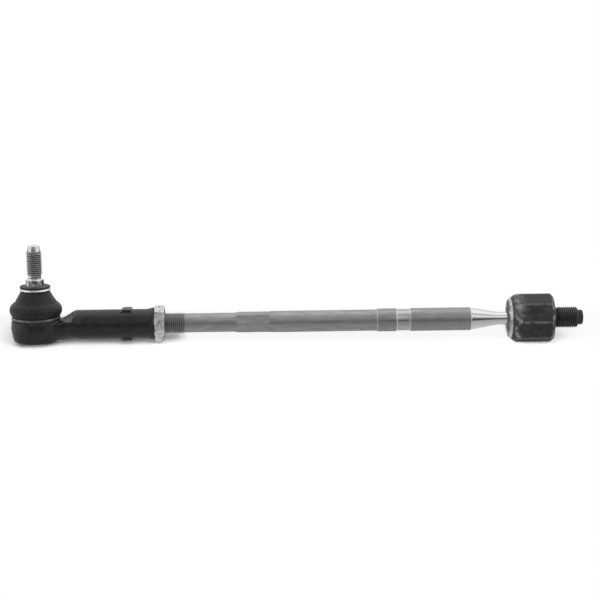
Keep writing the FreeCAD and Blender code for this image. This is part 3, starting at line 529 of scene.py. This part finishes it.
rod_rows = [(ROD_THREAD[0], 0.0)] + thread_rows(*ROD_THREAD, M16_CREST, (1.2, 0.95), rod_angles, -1)
rod_rows += [(112.2, BLANK), (149.3, BLANK)]
rod_rows += fade(149.3, 153.1, BLANK, hexagon) + fade(174.3, 178.1, hexagon, SHAFT)
rod_rows += eased([(178.3, SHAFT), (257.9, SHAFT, 0.2), (258.6, BAND, 0.25), (272.6, BAND, 0.2),
                   (273.7, GROOVE, 0.3), (282.5, GROOVE, 0.3), (283.6, BAND, 0.2),
                   (329.4, BAND, 0.1), (330.0, 8.2, 0.12), (330.9, 8.24, 0.2)])
rod_rows += bend((347.6, 5.2), (353.2, NECK), 32.0, 1) + eased([(354.0, NECK), (359.0, NECK, 0.2)])
rod_rows += [(INNER_CENTRE - INNER_BALL * math.cos(t), INNER_BALL * math.sin(t))
             for t in np.linspace(math.asin(NECK / INNER_BALL), math.pi, 33)]
rod = place("forged_rod", skin("forged_rod", rod_rows, "rod", rod_angles), "rod", "rod")

# %% Dress the rod, zone by zone
# The chamfers and the cut edge before the taper carry painted highlights in their pale tones.
dress(rod, 0, [(ROD_THREAD[1], rod_thread), (257.9, shaft_steel), (258.6, groove_steel),
               (272.6, band_steel), (273.7, chamfer_steel_and_painted_highlight), (282.5, groove_steel),
               (283.6, chamfer_steel_and_painted_highlight), (329.3, band_steel), (330.1, edge_steel_painted_highlight),
               (math.inf, polished_steel)])
print("finishes on the rod:", len(rod.data.materials))

# %% [markdown]
# ## The ball stud
# The stud carries the ball at its foot, a taper that wedges into the steering knuckle, a thread for
# the castle nut and a plain nose that starts it. It is turned, ground and rolled, so it is one skin
# round the upright axis. The undercut between taper and thread is the dark ring in the picture.

# %% Build the stud
OUTER_BALL = 11.0
TAPER_FOOT, TAPER_TOP = (22.0, 7.4), (35.2, 6.7)
STUD_THREAD = (38.6, 56.8)
stud_angles = round_angles(8, 12)
stud_rows = [(-9.6, 0.0)] + bend((-9.6, 5.37), (9.53, 5.5), OUTER_BALL, -1, 40)
stud_rows += eased([(9.7, 5.5), (20.0, 5.5, 1.0), (*TAPER_FOOT, 0.5), (*TAPER_TOP, 0.15),
                    (35.6, 6.3, 0.15), (35.6, 4.75, 0.6), (38.5, 4.75, 0.4)])
stud_rows += thread_rows(*STUD_THREAD, M12_CREST, (1.1, 1.1), stud_angles)
stud_rows += eased([(56.8, 4.85), (60.8, 4.2, 0.2), (61.1, 3.9, 0.2), (61.1, 0.0)])
stud = place("turned_ball_stud", skin("turned_ball_stud", stud_rows, "stud", stud_angles),
             "stud", "ball_stud")
dress(stud, 2, [(STUD_THREAD[0], stud_steel), (STUD_THREAD[1], stud_thread), (math.inf, stud_steel)])

# %% [markdown]
# ## The dust boot
# The boot keeps grease in and dirt out. Its foot is clamped on the housing's collar, it bulges, folds
# in and closes round the stud. A cloth simulation could inflate it, but a moulded boot keeps its
# moulded shape, so an outline of true arcs is nearer to the real one. One flank has a small pinch from
# storage. The boot bends between two bodies, and here it rides on neither.

# %% Build the boot
LIP_GAP = 0.1
PINCH_DEPTH, PINCH_ANGLE, PINCH_HEIGHT, PINCH_RISE = 0.45, 0.45, 18.6, 0.9  # mm and radians
boot_angles = np.linspace(0, 2 * np.pi, 129)


def lip_radius(height):
    """Radius of the boot's lip, just off the stud's taper."""
    return float(np.interp(height, *zip(TAPER_FOOT, TAPER_TOP))) + LIP_GAP


boot_outline = eased([(4.7, 16.1), (4.7, 17.6, 0.25), (7.3, 17.6, 0.3)])
boot_outline += bend((7.9, 18.2), (17.4, 16.5), 6.2, -1, 18)[1:-1]
boot_outline += bend((17.4, 16.5), (26.2, 11.1), 45.0, 1, 14)[:-1]
boot_outline += eased([(26.2, 11.1, 0.4), (27.1, 10.5, 0.15), (28.9, 10.5, 0.1), (28.9, 11.5, 0.35),
                       (30.3, 11.5, 0.7), (30.3, lip_radius(30.3), 0.3), (26.2, lip_radius(26.2), 0.3)])
boot_outline += bend((26.2, 9.3), (16.5, 14.7), 46.8, -1, 14)[:-1]
boot_outline += bend((16.5, 14.7), (8.8, 16.1), 4.94, 1, 14)
pinched = np.exp(-((boot_angles - np.pi) / PINCH_ANGLE) ** 2)
boot_rows = []
for height, radius in boot_outline:
    pinch = pinched * math.exp(-((height - PINCH_HEIGHT) / PINCH_RISE) ** 2)
    boot_rows.append((height, radius - PINCH_DEPTH * pinch))
boot = place("rubber_dust_boot", skin("rubber_dust_boot", boot_rows, "stud", boot_angles, True),
             None, "dust_boot", [rubber])
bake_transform(boot)

# %% [markdown]
# ## Clamp rings and closing plate
# Two steel bands hold the boot, and a pressed cup closes the bottom of the head, rolled in after the
# ball went in. All three are plain turned shapes whose edges make them real, so each gets its own
# round: strip steel is sheared and then deburred, and pressed sheet bends with a radius near half of
# its thickness.

# %% Build the rings and the plate
fine_angles = np.linspace(0, 2 * np.pi, 145)


def clamp_ring(name, node, body, finish, inside, outside, foot, top, lean):
    """A clamp ring, its band leaning in towards the top by that many millimetres."""
    outline = eased([(foot, inside, 0.1), (foot, outside, 0.3),
                     (top, outside - lean, 0.4), (top, inside, 0.1)])
    place(name, skin(name, outline, "stud", fine_angles, True), body, node, [finish])


# Inside and outside radius, foot, top and lean, in millimetres.
clamp_ring("upper_clamp_ring", "boot_top_ring", "boot_top", ring_zinc, 10.6, 11.6, 27.2, 28.8, 0.4)
clamp_ring("lower_clamp_ring", "boot_bottom_ring", "outer_end", strip_steel, 17.7, 18.4, 5.3, 7.2, 0.1)

plate_outline = eased([(-15.5, 0.0), (-15.5, 9.1, 0.7), (-12.6, 9.1, 0.4), (-12.6, 12.6, 0.1),
                       (-11.2, 12.6, 0.1), (-11.2, 7.7, 0.9), (-14.1, 7.7, 0.5), (-14.1, 0.0)])
place("pressed_closing_plate", skin("pressed_closing_plate", plate_outline, "stud", fine_angles),
      "outer_end", "closing_plate", [plate_zinc])

# %% [markdown]
# ## The lock nut
# A thin hexagon nut holds the setting. Its corners are cut by a cone on both faces, and a cone that
# meets six flats leaves the curved edges seen on every nut. Taking the smaller of both radii at each
# point draws those curves by itself, with no cutting.

# %% Build the nut
NUT_TURN, NUT_FLATS = -11.0, 24.0
NUT_LEFT, NUT_WIDTH, NUT_CUT = 89.2, 8.0, 1.3
FACE_RADIUS, CONE_SLOPE, EDGE_ROUND, EDGE_WIDTH = 11.7, 2.1, 0.25, 0.08
nut_angles = round_angles(6, 22, NUT_TURN)
nut_hexagon = polygon(nut_angles, 6, NUT_FLATS, NUT_TURN, 260)
nut_rows = eased([(97.2, 8.85, 0.1), (96.4, 8.05), (90.0, 8.05), (NUT_LEFT, 8.85, 0.1)])
cut = np.linspace(0, NUT_CUT, 14)
for step in np.concatenate([cut, NUT_WIDTH - cut[::-1]]):
    edge = min(step, NUT_WIDTH - step)
    cone = FACE_RADIUS + CONE_SLOPE * edge - EDGE_ROUND * math.exp(-edge / EDGE_WIDTH)
    nut_rows.append((NUT_LEFT + step, np.minimum(nut_hexagon, cone)))
place("thin_lock_nut", skin("thin_lock_nut", nut_rows, "rod", nut_angles, True),
      "lock_nut", "lock_nut", [nut_zinc])

# %% [markdown]
# ## The inner housing
# An eight-sided forging holds the inner ball. Its open end is turned to a dome and its lip is rolled
# over the ball, and its stud screws into the steering rack. The dome and the lip are the lathe's
# outline, the octagon is the die's, and the smaller radius wins, which leaves the arched edges of the
# real one.

# %% Build the inner housing
C = INNER_CENTRE
OCTAGON_TURN = 90.0
OCTAGON = (8, 34.7, OCTAGON_TURN, 150)
LIP_FACE, LIP_EDGE, LIP_END = C - 12.7, C - 10.9, C - 9.5
RACK_THREAD = (C + 24.2, C + 40.3)
SOCKET_RADIUS = 14.3
housing_angles = round_angles(8, 24, OCTAGON_TURN)
octagon = polygon(housing_angles, *OCTAGON)
socket = [(C + 14.2, 0.0), (C + 14.2, 7.2), (C + 6.5, SOCKET_RADIUS), (C, SOCKET_RADIUS)]
socket += bend((C, SOCKET_RADIUS), (C - 8.7, 11.35), SOCKET_RADIUS, 1, 14)[1:]
socket += eased([(C - 8.7, 10.5, 0.1), (LIP_FACE, 11.7, 0.3)])
lip = eased([(LIP_FACE, 12.4), (LIP_FACE, 14.2, 1.5), (LIP_EDGE, 15.5), (LIP_END, 16.5, 0.6)])
dome = bend((LIP_END, 16.5), (C - 4.0, 18.78), 8.0, -1, 14)[1:]
turned_side = dome + [(C - 4.0 + t, 25.0) for t in np.linspace(0.3, 20.0, 50)]
turned_side += [(C + 21.2 - t, 16.55 + 1.014 * t) for t in np.linspace(3.0, 0.0, 13)]
housing_rows = socket + lip
housing_rows += [(along, np.minimum(octagon, radius)) for along, radius in turned_side]
housing_rows += eased([(C + 21.2, 9.4), (C + 21.2, 7.9, 0.5), (C + 23.9, 7.9, 0.2), (C + 24.2, 6.95)])
housing_rows += thread_rows(*RACK_THREAD, M16_CREST, (1.05, 1.1), housing_angles, -1)
housing_rows += eased([(C + 40.3, 5.6), (C + 43.7, 5.6, 0.2), (C + 44.3, 5.0, 0.2), (C + 44.3, 0.0)])
inner_mesh = skin("octagon_housing", housing_rows, "rod", housing_angles)
print("rows:", len(housing_rows))

# %% [markdown]
# ## Wear and a painted highlight on the inner housing
# Handling rubs the edges bright, and an edge is where the lathe's radius and the die's are nearly the
# same. The corners and the lip are rubbed too. The upper side of the dome is painted lighter, as a
# painted highlight. Painted wear would not follow a change of size.

# %% Find the worn places and the painted highlight
DOME_WEAR, CORNER_WEAR, CORNER_SHARE = 0.8, 0.9, 0.4
LIP_WEAR_AT, LIP_WEAR = C - 11.2, 0.9
TOP_HIGHLIGHT_AT, TOP_HIGHLIGHT_SPREAD, TOP_HIGHLIGHT_HEIGHT = C - 6.0, 3.5, 14.0


def mark_wear_and_highlight(mesh, wear_and_highlight):
    """Keep each point's wear and painted highlight, from 0 to 1, where the finishes read it."""
    mesh.attributes.new("wear_and_highlight", "FLOAT", "POINT").data.foreach_set("value", np.clip(wear_and_highlight, 0, 1))


points = read(inner_mesh.vertices, "co") / MM
along, radius = points[:, 0], np.hypot(points[:, 1], points[:, 2])
angle = np.arctan2(points[:, 2], -points[:, 1])
corner = np.abs((angle - math.radians(OCTAGON_TURN) + np.pi / 8) % (np.pi / 4) - np.pi / 8) * radius
turned_radius = np.interp(along, [a for a, _ in turned_side], [r for _, r in turned_side])
near_dome = np.exp(-(np.abs(turned_radius - polygon(angle, *OCTAGON)) / DOME_WEAR) ** 2)
near_corner = np.exp(-(corner / CORNER_WEAR) ** 2)
on_body = (along > LIP_END) & (along < C + 21.3) & (radius > 15.5)
lip_wear = np.exp(-((along - LIP_WEAR_AT) / LIP_WEAR) ** 2) * (radius > 13.0)
# Painted highlight: the upper side of the dome is painted lighter, the more so the higher it lies.
painted_top_highlight = np.exp(-((along - TOP_HIGHLIGHT_AT) / TOP_HIGHLIGHT_SPREAD) ** 2) * np.clip(points[:, 2] / TOP_HIGHLIGHT_HEIGHT, 0, 1)
wear_and_highlight = np.maximum(near_dome, np.maximum(near_corner * CORNER_SHARE, painted_top_highlight))
mark_wear_and_highlight(inner_mesh, np.where(on_body, wear_and_highlight, 0.0) + lip_wear)
print("share of the body worn:", round(float(np.mean(wear_and_highlight[on_body] > 0.5)), 3))

# %% [markdown]
# ## Four surfaces on one housing
# The body keeps its phosphate. The lip's face was turned bare after it, the mouth's wall is a rougher
# cut, and the rack thread is rubbed. Each face takes its finish by where its centre lies.

# %% Place and dress the inner housing
MOUTH_END, MOUTH_RADIUS = C - 8.5, 12.2
place("octagon_housing", inner_mesh, "inner_end", "inner_housing",
      [phosphate, lip_steel, rack_thread, mouth_steel])
centres = read(inner_mesh.polygons, "center") / MM
chosen = np.zeros(len(centres), np.int32)
chosen[centres[:, 0] < LIP_EDGE] = 1
chosen[(centres[:, 0] > RACK_THREAD[0]) & (centres[:, 0] < RACK_THREAD[1])] = 2
chosen[(centres[:, 0] < MOUTH_END) & (np.hypot(centres[:, 1], centres[:, 2]) < MOUTH_RADIUS)] = 3
inner_mesh.polygons.foreach_set("material_index", chosen)
print("faces of each finish:", np.bincount(chosen))

# %% [markdown]
# ## The outer housing
# The head, the neck and the threaded sleeve are one drop forging, and no ring describes where they
# flow together. Sculpting it would not keep the CAD size. So the CAD shape itself is covered anew with
# an even skin by a voxel remesh of 0.42 mm, fine enough for the neck's edges.

# %% Cover the forging with an even skin
VOXEL = 0.42
forging = new_object("forged_head_and_sleeve", frame["nodes"]["outer_housing"].data.copy())
work = bmesh.new()
work.from_mesh(forging.data)
bmesh.ops.remove_doubles(work, verts=work.verts, dist=SEAM)
work.to_mesh(forging.data)
work.free()
forging.data.transform(lay.inverted())
voxels = forging.modifiers.new("even_skin", "REMESH")
voxels.mode = "VOXEL"
voxels.voxel_size = VOXEL * MM
even = bpy.data.meshes.new_from_object(forging.evaluated_get(bpy.context.evaluated_depsgraph_get()))
bpy.data.objects.remove(forging)
print("even skin:", len(even.polygons), "faces")

# %% [markdown]
# ## Relax the skin
# Moving each point part of the way to the mean of its neighbours rounds the edges as a forging die
# does. The ball socket, the mouth and the bore are left alone, because other pieces fit them.

# %% Relax the skin
SOCKET, MOUTH, BORE, BORE_FROM = 13.4, 15.0, 9.3, 30.0
points = read(even.vertices, "co") / MM
edges = np.empty(len(even.edges) * 2, np.int32)
even.edges.foreach_get("vertices", edges)
edges = edges.reshape(-1, 2)
ends, others = np.concatenate([edges, edges[:, ::-1]]).T
neighbours = np.bincount(ends, minlength=len(points))[:, None]


def neighbour_mean(values):
    """Mean of each point's neighbours."""
    total = np.stack([np.bincount(ends, values[others, i], len(points)) for i in range(values.shape[1])], 1)
    return total / neighbours


in_socket = np.linalg.norm(points, axis=1) < SOCKET
in_mouth = (np.hypot(points[:, 0], points[:, 1]) < MOUTH) & (points[:, 2] > 0)
in_bore = (np.hypot(points[:, 1], points[:, 2]) < BORE) & (points[:, 0] > BORE_FROM)
ease = np.where(in_socket | in_mouth | in_bore, 0.0, 0.5)[:, None]
for _ in range(3):
    points += ease * (neighbour_mean(points) - points)
print("points left alone:", int((ease == 0).sum()))

# %% [markdown]
# ## Press up the rim and flatten the neck
# The picture shows the closing plate's bright edge under the head, so the rim there is pressed up by
# two millimetres. It also shows the die's facet on each side of the neck, which falls from a crown in
# the middle to a crisp border. The points above it are lowered onto it after the relaxing, which
# would have blurred that border.

# %% Press and carve
HEAD_RADIUS, RIM_FROM, RIM_LIFT = 19.5, 10.4, 0.46
CROWN, CROWN_SLOPE = 4.9, 0.653
BORDER, BORDER_SLOPE, BORDER_FROM = 4.3, 1.6, 28.0
FACET_WIDTH, FACET_HOLLOW = 11.2, 0.8
NECK_FROM, NECK_TO, NECK_LOW = 18.9, 34.0, 3.2
low = np.clip(-RIM_FROM - points[:, 2], 0, None)
points[:, 2] += np.where(np.hypot(points[:, 0], points[:, 1]) < HEAD_RADIUS, low * RIM_LIFT, 0.0)
crown = CROWN + CROWN_SLOPE * (points[:, 0] - HEAD_RADIUS)
border = BORDER + BORDER_SLOPE * np.clip(points[:, 0] - BORDER_FROM, 0, None)
slant = np.clip(np.abs(points[:, 1]) / FACET_WIDTH, 0, 1) ** FACET_HOLLOW
facet = crown + (border - crown) * slant
on_neck = (points[:, 0] > NECK_FROM) & (points[:, 0] < NECK_TO) & (points[:, 2] > NECK_LOW)
points[:, 2] = np.where(on_neck, np.minimum(points[:, 2], facet), points[:, 2])
even.vertices.foreach_set("co", (points * MM).ravel())
even.update()
print("rim pressed up by, mm:", round(float(low.max() * RIM_LIFT), 2))

# %% [markdown]
# ## Wear and a painted highlight on the outer housing
# An edge that stands out lies above the mean of its neighbours, and that height finds every convex
# edge by itself. The neck's facets are painted lighter as a whole, as a painted highlight. The remesh
# kept the CAD node's plain material, which the placing takes off before the coating goes on.

# %% Find the wear and the painted highlight, and place the housing
BULGE_FROM, BULGE_RANGE, FACET_SKIN = 0.02, 0.03, 0.02
bulge = -((neighbour_mean(points) - points) * read(even.vertices, "normal")).sum(1)
bulge = neighbour_mean(bulge[:, None])[:, 0]
worn_edges = np.clip((bulge - BULGE_FROM) / BULGE_RANGE, 0, 1)
# Painted highlight: the neck's facets are painted lighter as a whole, where they face the light.
painted_facet_highlight = np.where(on_neck & (points[:, 2] > facet - FACET_SKIN), 1.0, 0.0)
mark_wear_and_highlight(even, np.maximum(worn_edges, painted_facet_highlight))
place("forged_head_and_sleeve", even, "outer_end", "outer_housing", [coating])

# %% [markdown]
# ## Bearing seats
# Between each ball and its housing sits a shell of natural acetal, a hard, waxy, off-white plastic.
# Only a sliver shows in the mouth of the inner joint, and the CAD shells have the right shape, so they
# stay and only get their finish: a faint cloud in the tone and a soft moulded grain.

# %% Acetal seats
acetal, tree, sockets, where = new_finish("moulded_acetal", 0.38)
cloud = add(tree, "TexNoise", {"Vector": where, "Scale": grain(3.0), "Detail": 3.0})
pores = add(tree, "TexNoise", {"Vector": where, "Scale": grain(0.4), "Detail": 3.0})
tint = add(tree, "Mix", {"data_type": "RGBA", 0: cloud, 6: linear("#d3cfc3"), 7: linear("#e2dfd6")}, 2)
fine = add(tree, "Bump", {"Height": pores, "Distance": 0.01 * MM})
connect(tree, sockets, {"Base Color": tint, "Normal": fine})
for node in ("outer_ball_seat", "inner_ball_seat"):
    frame["nodes"][node].data.materials.clear()
    frame["nodes"][node].data.materials.append(acetal)
print("seats:", acetal.name)

# %% [markdown]
# ## The table
# The picture is a catalogue shot on a white table, and keeps its soft shadow only near the joints. So
# there the floor is a real diffuse surface, and the camera sees it brighter than white, which leaves
# only the shadow's core. Along the shaft, past both ends and away from the part, the camera sees most
# or all of it glow at plain white. Along the shaft and past the ends, that glow is painted light laid
# over the part's own shadow.

# %% Table
TABLE_COLOUR, SEEN_COLOUR, HALF = 0.8, 2.6, 30


def studio_finish(name):
    """Start a material of the studio. Gives the material, its tree and the place on its mesh."""
    made = bpy.data.materials.new(name)
    made.use_nodes = True
    made.cycles.emission_sampling = "NONE"
    made.node_tree.nodes.clear()
    return made, made.node_tree, add(made.node_tree, "TexCoord", {}, "Object")


floor_mesh = bpy.data.meshes.new("studio_table")
floor_mesh.from_pydata([(-HALF, -HALF, 0), (HALF, -HALF, 0), (HALF, HALF, 0), (-HALF, HALF, 0)],
                       [], [(0, 1, 2, 3)])
floor = new_object("studio_table", floor_mesh)
table, tree, spot = studio_finish("white_table")
floor_mesh.materials.append(table)
camera_ray = add(tree, "LightPath", {}, "Is Camera Ray")
clear_ray = add(tree, "LightPath", {}, "Is Transmission Ray")
gloss_ray = add(tree, "LightPath", {}, "Is Glossy Ray")
seen = add(tree, "Math", {"operation": "MAXIMUM", 0: camera_ray, 1: clear_ray})
print("side of the table, m:", 2 * HALF)

# %% [markdown]
# ## What bare metal mirrors of the table
# The real table ends in front of the part, and the dim room past it makes the dark lines along the
# rod. So reflections see a table of their own: pale under the part, dark from 15 cm in front, dim
# behind, and brighter past the left end. All distances are in metres.

# %% The table in reflections
front = add(tree, "SeparateXYZ", {"Vector": spot}, "Y")
near = add(tree, "MapRange", {"Value": front, "From Min": -0.15, "From Max": -0.06,
                              "To Min": 0.16, "To Max": 1.3})
beside = add(tree, "MapRange", {"Value": front, "From Min": -0.03, "From Max": 0.0, "To Max": 0.2})
behind = add(tree, "MapRange", {"Value": front, "From Min": 0.08, "From Max": 0.11, "To Max": -1.3})
left = add(tree, "SeparateXYZ", {"Vector": spot}, "X")
left = add(tree, "MapRange", {"Value": left, "From Min": -0.24, "From Max": -0.28, "To Max": 1.2})
left = add(tree, "Math", {"operation": "MULTIPLY", 0: left, 1: near})
mirrored = near
for part in (beside, behind, left):
    mirrored = add(tree, "Math", {"operation": "ADD", 0: mirrored, 1: part})
shown = add(tree, "Mix", {"data_type": "FLOAT", 0: seen, 2: TABLE_COLOUR, 3: SEEN_COLOUR})
shown = add(tree, "Mix", {"data_type": "FLOAT", 0: gloss_ray, 2: shown, 3: mirrored})
paper = add(tree, "BsdfDiffuse", {"Color": shown})

# %% Where the camera sees plain white
oval = add(tree, "Mapping", {"Vector": spot, "Scale": (0.3, 1, 1)})
backdrop_and_painted_glow = add(tree, "VectorMath", {"operation": "LENGTH", 0: oval}, "Value")
backdrop_and_painted_glow = add(tree, "MapRange", {"Value": backdrop_and_painted_glow, "From Min": 0.09, "From Max": 0.14})
across = add(tree, "SeparateXYZ", {"Vector": spot}, "X")
# Painted light over the shadow of the shaft and of the two ends: the middle of each stretch, how far
# from it the glow starts and is full, and how much of it there is.
for centre, start, full, share in ((0.04, 0.134, 0.124, 0.88), (-0.01, 0.200, 0.222, 0.75)):
    part = add(tree, "Math", {"operation": "SUBTRACT", 0: across, 1: centre})
    part = add(tree, "Math", {"operation": "ABSOLUTE", 0: part})
    part = add(tree, "MapRange", {"Value": part, "From Min": start, "From Max": full, "To Max": share})
    backdrop_and_painted_glow = add(tree, "Math", {"operation": "MAXIMUM", 0: backdrop_and_painted_glow, 1: part})
plain = add(tree, "Math", {"operation": "MULTIPLY", 0: backdrop_and_painted_glow, 1: seen})
white = add(tree, "Emission", {"Color": (1, 1, 1, 1), "Strength": 1.0})
surface = add(tree, "MixShader", {0: plain, 1: paper, 2: white})
add(tree, "OutputMaterial", {"Surface": surface})
print("nodes of the table:", len(tree.nodes))

# %% [markdown]
# ## A dome for the reflections
# A real studio is full of things that metal mirrors, and building them would shade the part too. One
# dome that only reflections see stands for them all: dim ahead, where the camera stands, pale at both
# sides, behind and above, with one bright card in front.

# %% Dome for the reflections
DOME_RADIUS = 3.0
CARD_WAY, CARD_LEVEL = (0.287, -0.71, 0.643), 1.05
quarter = np.linspace(0, np.pi / 2, 17)
dome_rows = [(DOME_RADIUS / MM * math.sin(t), DOME_RADIUS / MM * math.cos(t)) for t in quarter]
dome_mesh = skin("studio_dome", dome_rows, "stud", np.linspace(0, 2 * np.pi, 65))
dome = new_object("studio_dome", dome_mesh)
dome.visible_camera = dome.visible_diffuse = dome.visible_shadow = dome.visible_transmission = False
room, tree, spot = studio_finish("dim_room")
dome_mesh.materials.append(room)
way = add(tree, "VectorMath", {"operation": "NORMALIZE", 0: spot})
sideways = add(tree, "SeparateXYZ", {"Vector": way}, "Y")
upwards = add(tree, "SeparateXYZ", {"Vector": way}, "Z")
across = add(tree, "SeparateXYZ", {"Vector": way}, "X")
across = add(tree, "Math", {"operation": "ABSOLUTE", 0: across})
ahead = add(tree, "MapRange", {"Value": sideways, "From Min": -0.4, "From Max": -0.1,
                               "To Min": 1.0, "To Max": 0.0})
open_side = add(tree, "MapRange", {"Value": across, "From Min": 0.58, "From Max": 0.72,
                                   "To Min": 1.0, "To Max": 0.0})
ahead = add(tree, "Math", {"operation": "MULTIPLY", 0: ahead, 1: open_side})
dim = add(tree, "MapRange", {"Value": upwards, "From Min": 0.1, "From Max": 0.3,
                             "To Min": 0.05, "To Max": 0.42})
high = add(tree, "MapRange", {"Value": upwards, "From Min": 0.6, "From Max": 0.9,
                              "To Min": 0.88, "To Max": 1.3})
level = add(tree, "Mix", {"data_type": "FLOAT", 0: ahead, 2: high, 3: dim})
card = add(tree, "VectorMath", {"operation": "DOT_PRODUCT", 0: way, 1: CARD_WAY}, "Value")
card = add(tree, "MapRange", {"Value": card, "From Min": 0.93, "From Max": 0.975})
level = add(tree, "Mix", {"data_type": "FLOAT", 0: card, 2: level, 3: CARD_LEVEL})
glow = add(tree, "Emission", {"Color": (1, 1, 1, 1), "Strength": level})
add(tree, "OutputMaterial", {"Surface": glow})
print("nodes of the dome:", len(tree.nodes))

# %% [markdown]
# ## World and lamps
# The world is white to the camera and to reflections, and nearly dark to the surfaces it lights, so
# that shadows stay. A faint lamp hangs overhead, and a broad one and a stronger, lower strip in front
# do the lighting. All are large and soft. Reflections see the dome instead of them.

# %% World
WORLD_LIGHT, WORLD_SEEN = 0.025, 1.0
world = bpy.data.worlds.new("white_studio")
bpy.context.scene.world = world
world.use_nodes = True
world.cycles.sampling_method = "NONE"
tree = world.node_tree
seen = add(tree, "LightPath", {}, "Is Camera Ray")
for ray in ("Is Transmission Ray", "Is Glossy Ray"):
    path = add(tree, "LightPath", {}, ray)
    seen = add(tree, "Math", {"operation": "MAXIMUM", 0: seen, 1: path})
glow = add(tree, "MapRange", {"Value": seen, "To Min": WORLD_LIGHT, "To Max": WORLD_SEEN})
backdrop = tree.nodes["Background"]
backdrop.inputs["Color"].default_value = (1, 1, 1, 1)
tree.links.new(glow, backdrop.inputs["Strength"])
print("light of the world:", WORLD_LIGHT)


# %% Lamps
def softbox(name, width, depth, power, place_m):
    """A large rectangular lamp that shines from its place towards the part, unseen in reflections."""
    light = bpy.data.lights.new(name, "AREA")
    light.shape = "RECTANGLE"
    light.size, light.size_y = width, depth
    light.energy = power
    lamp = new_object(name, light)
    lamp.location = place_m
    lamp.rotation_mode = "QUATERNION"
    lamp.rotation_quaternion = (-Vector(place_m)).to_track_quat("-Z", "Y")
    lamp.visible_glossy = False
    print(name, "radiance:", round(power / (math.pi * width * depth), 2))


# Width and depth in metres, power in watts, and place in metres.
softbox("overhead_softbox", 1.4, 0.9, 0.25, (-0.05, 0.1, 1.1))
softbox("front_softbox", 1.5, 0.7, 7.0, (0.1, -1.15, 0.9))
softbox("low_front_strip", 1.4, 0.42, 15.0, (0.1, -1.45, 0.5))

# %% [markdown]
# ## Camera
# The photograph was taken from the front, a little above the part, and its lens is long: both ends
# keep almost the same scale. Position, direction and lens were fitted to the places of the joint
# centres, shoulders and edges in the picture, in the part's own millimetres.

# %% Camera
CAMERA_PLACE = (-0.03965, -1.3164, 0.29546)
CAMERA_YAW, CAMERA_PITCH = math.radians(1.8083), math.radians(11.2398)
FRAME_PIXELS, FOCAL_PIXELS, SENSOR_MM = 600, 1770, 36.0
camera = new_object("catalogue_camera", bpy.data.cameras.new("catalogue_camera"))
camera.location = CAMERA_PLACE
sight = Vector((math.sin(CAMERA_YAW) * math.cos(CAMERA_PITCH),
                math.cos(CAMERA_YAW) * math.cos(CAMERA_PITCH), -math.sin(CAMERA_PITCH)))
camera.rotation_mode = "QUATERNION"
camera.rotation_quaternion = sight.to_track_quat("-Z", "Y")
camera.data.sensor_width = SENSOR_MM
camera.data.lens = SENSOR_MM * FOCAL_PIXELS / FRAME_PIXELS
bpy.context.scene.camera = camera
bpy.context.scene.view_settings.view_transform = "Standard"
print("lens, mm:", camera.data.lens)

# %% [markdown]
# ## Update the scene
# The dressed part must stay inside the CAD part's box.

# %% Update the scene
bpy.context.view_layer.update()
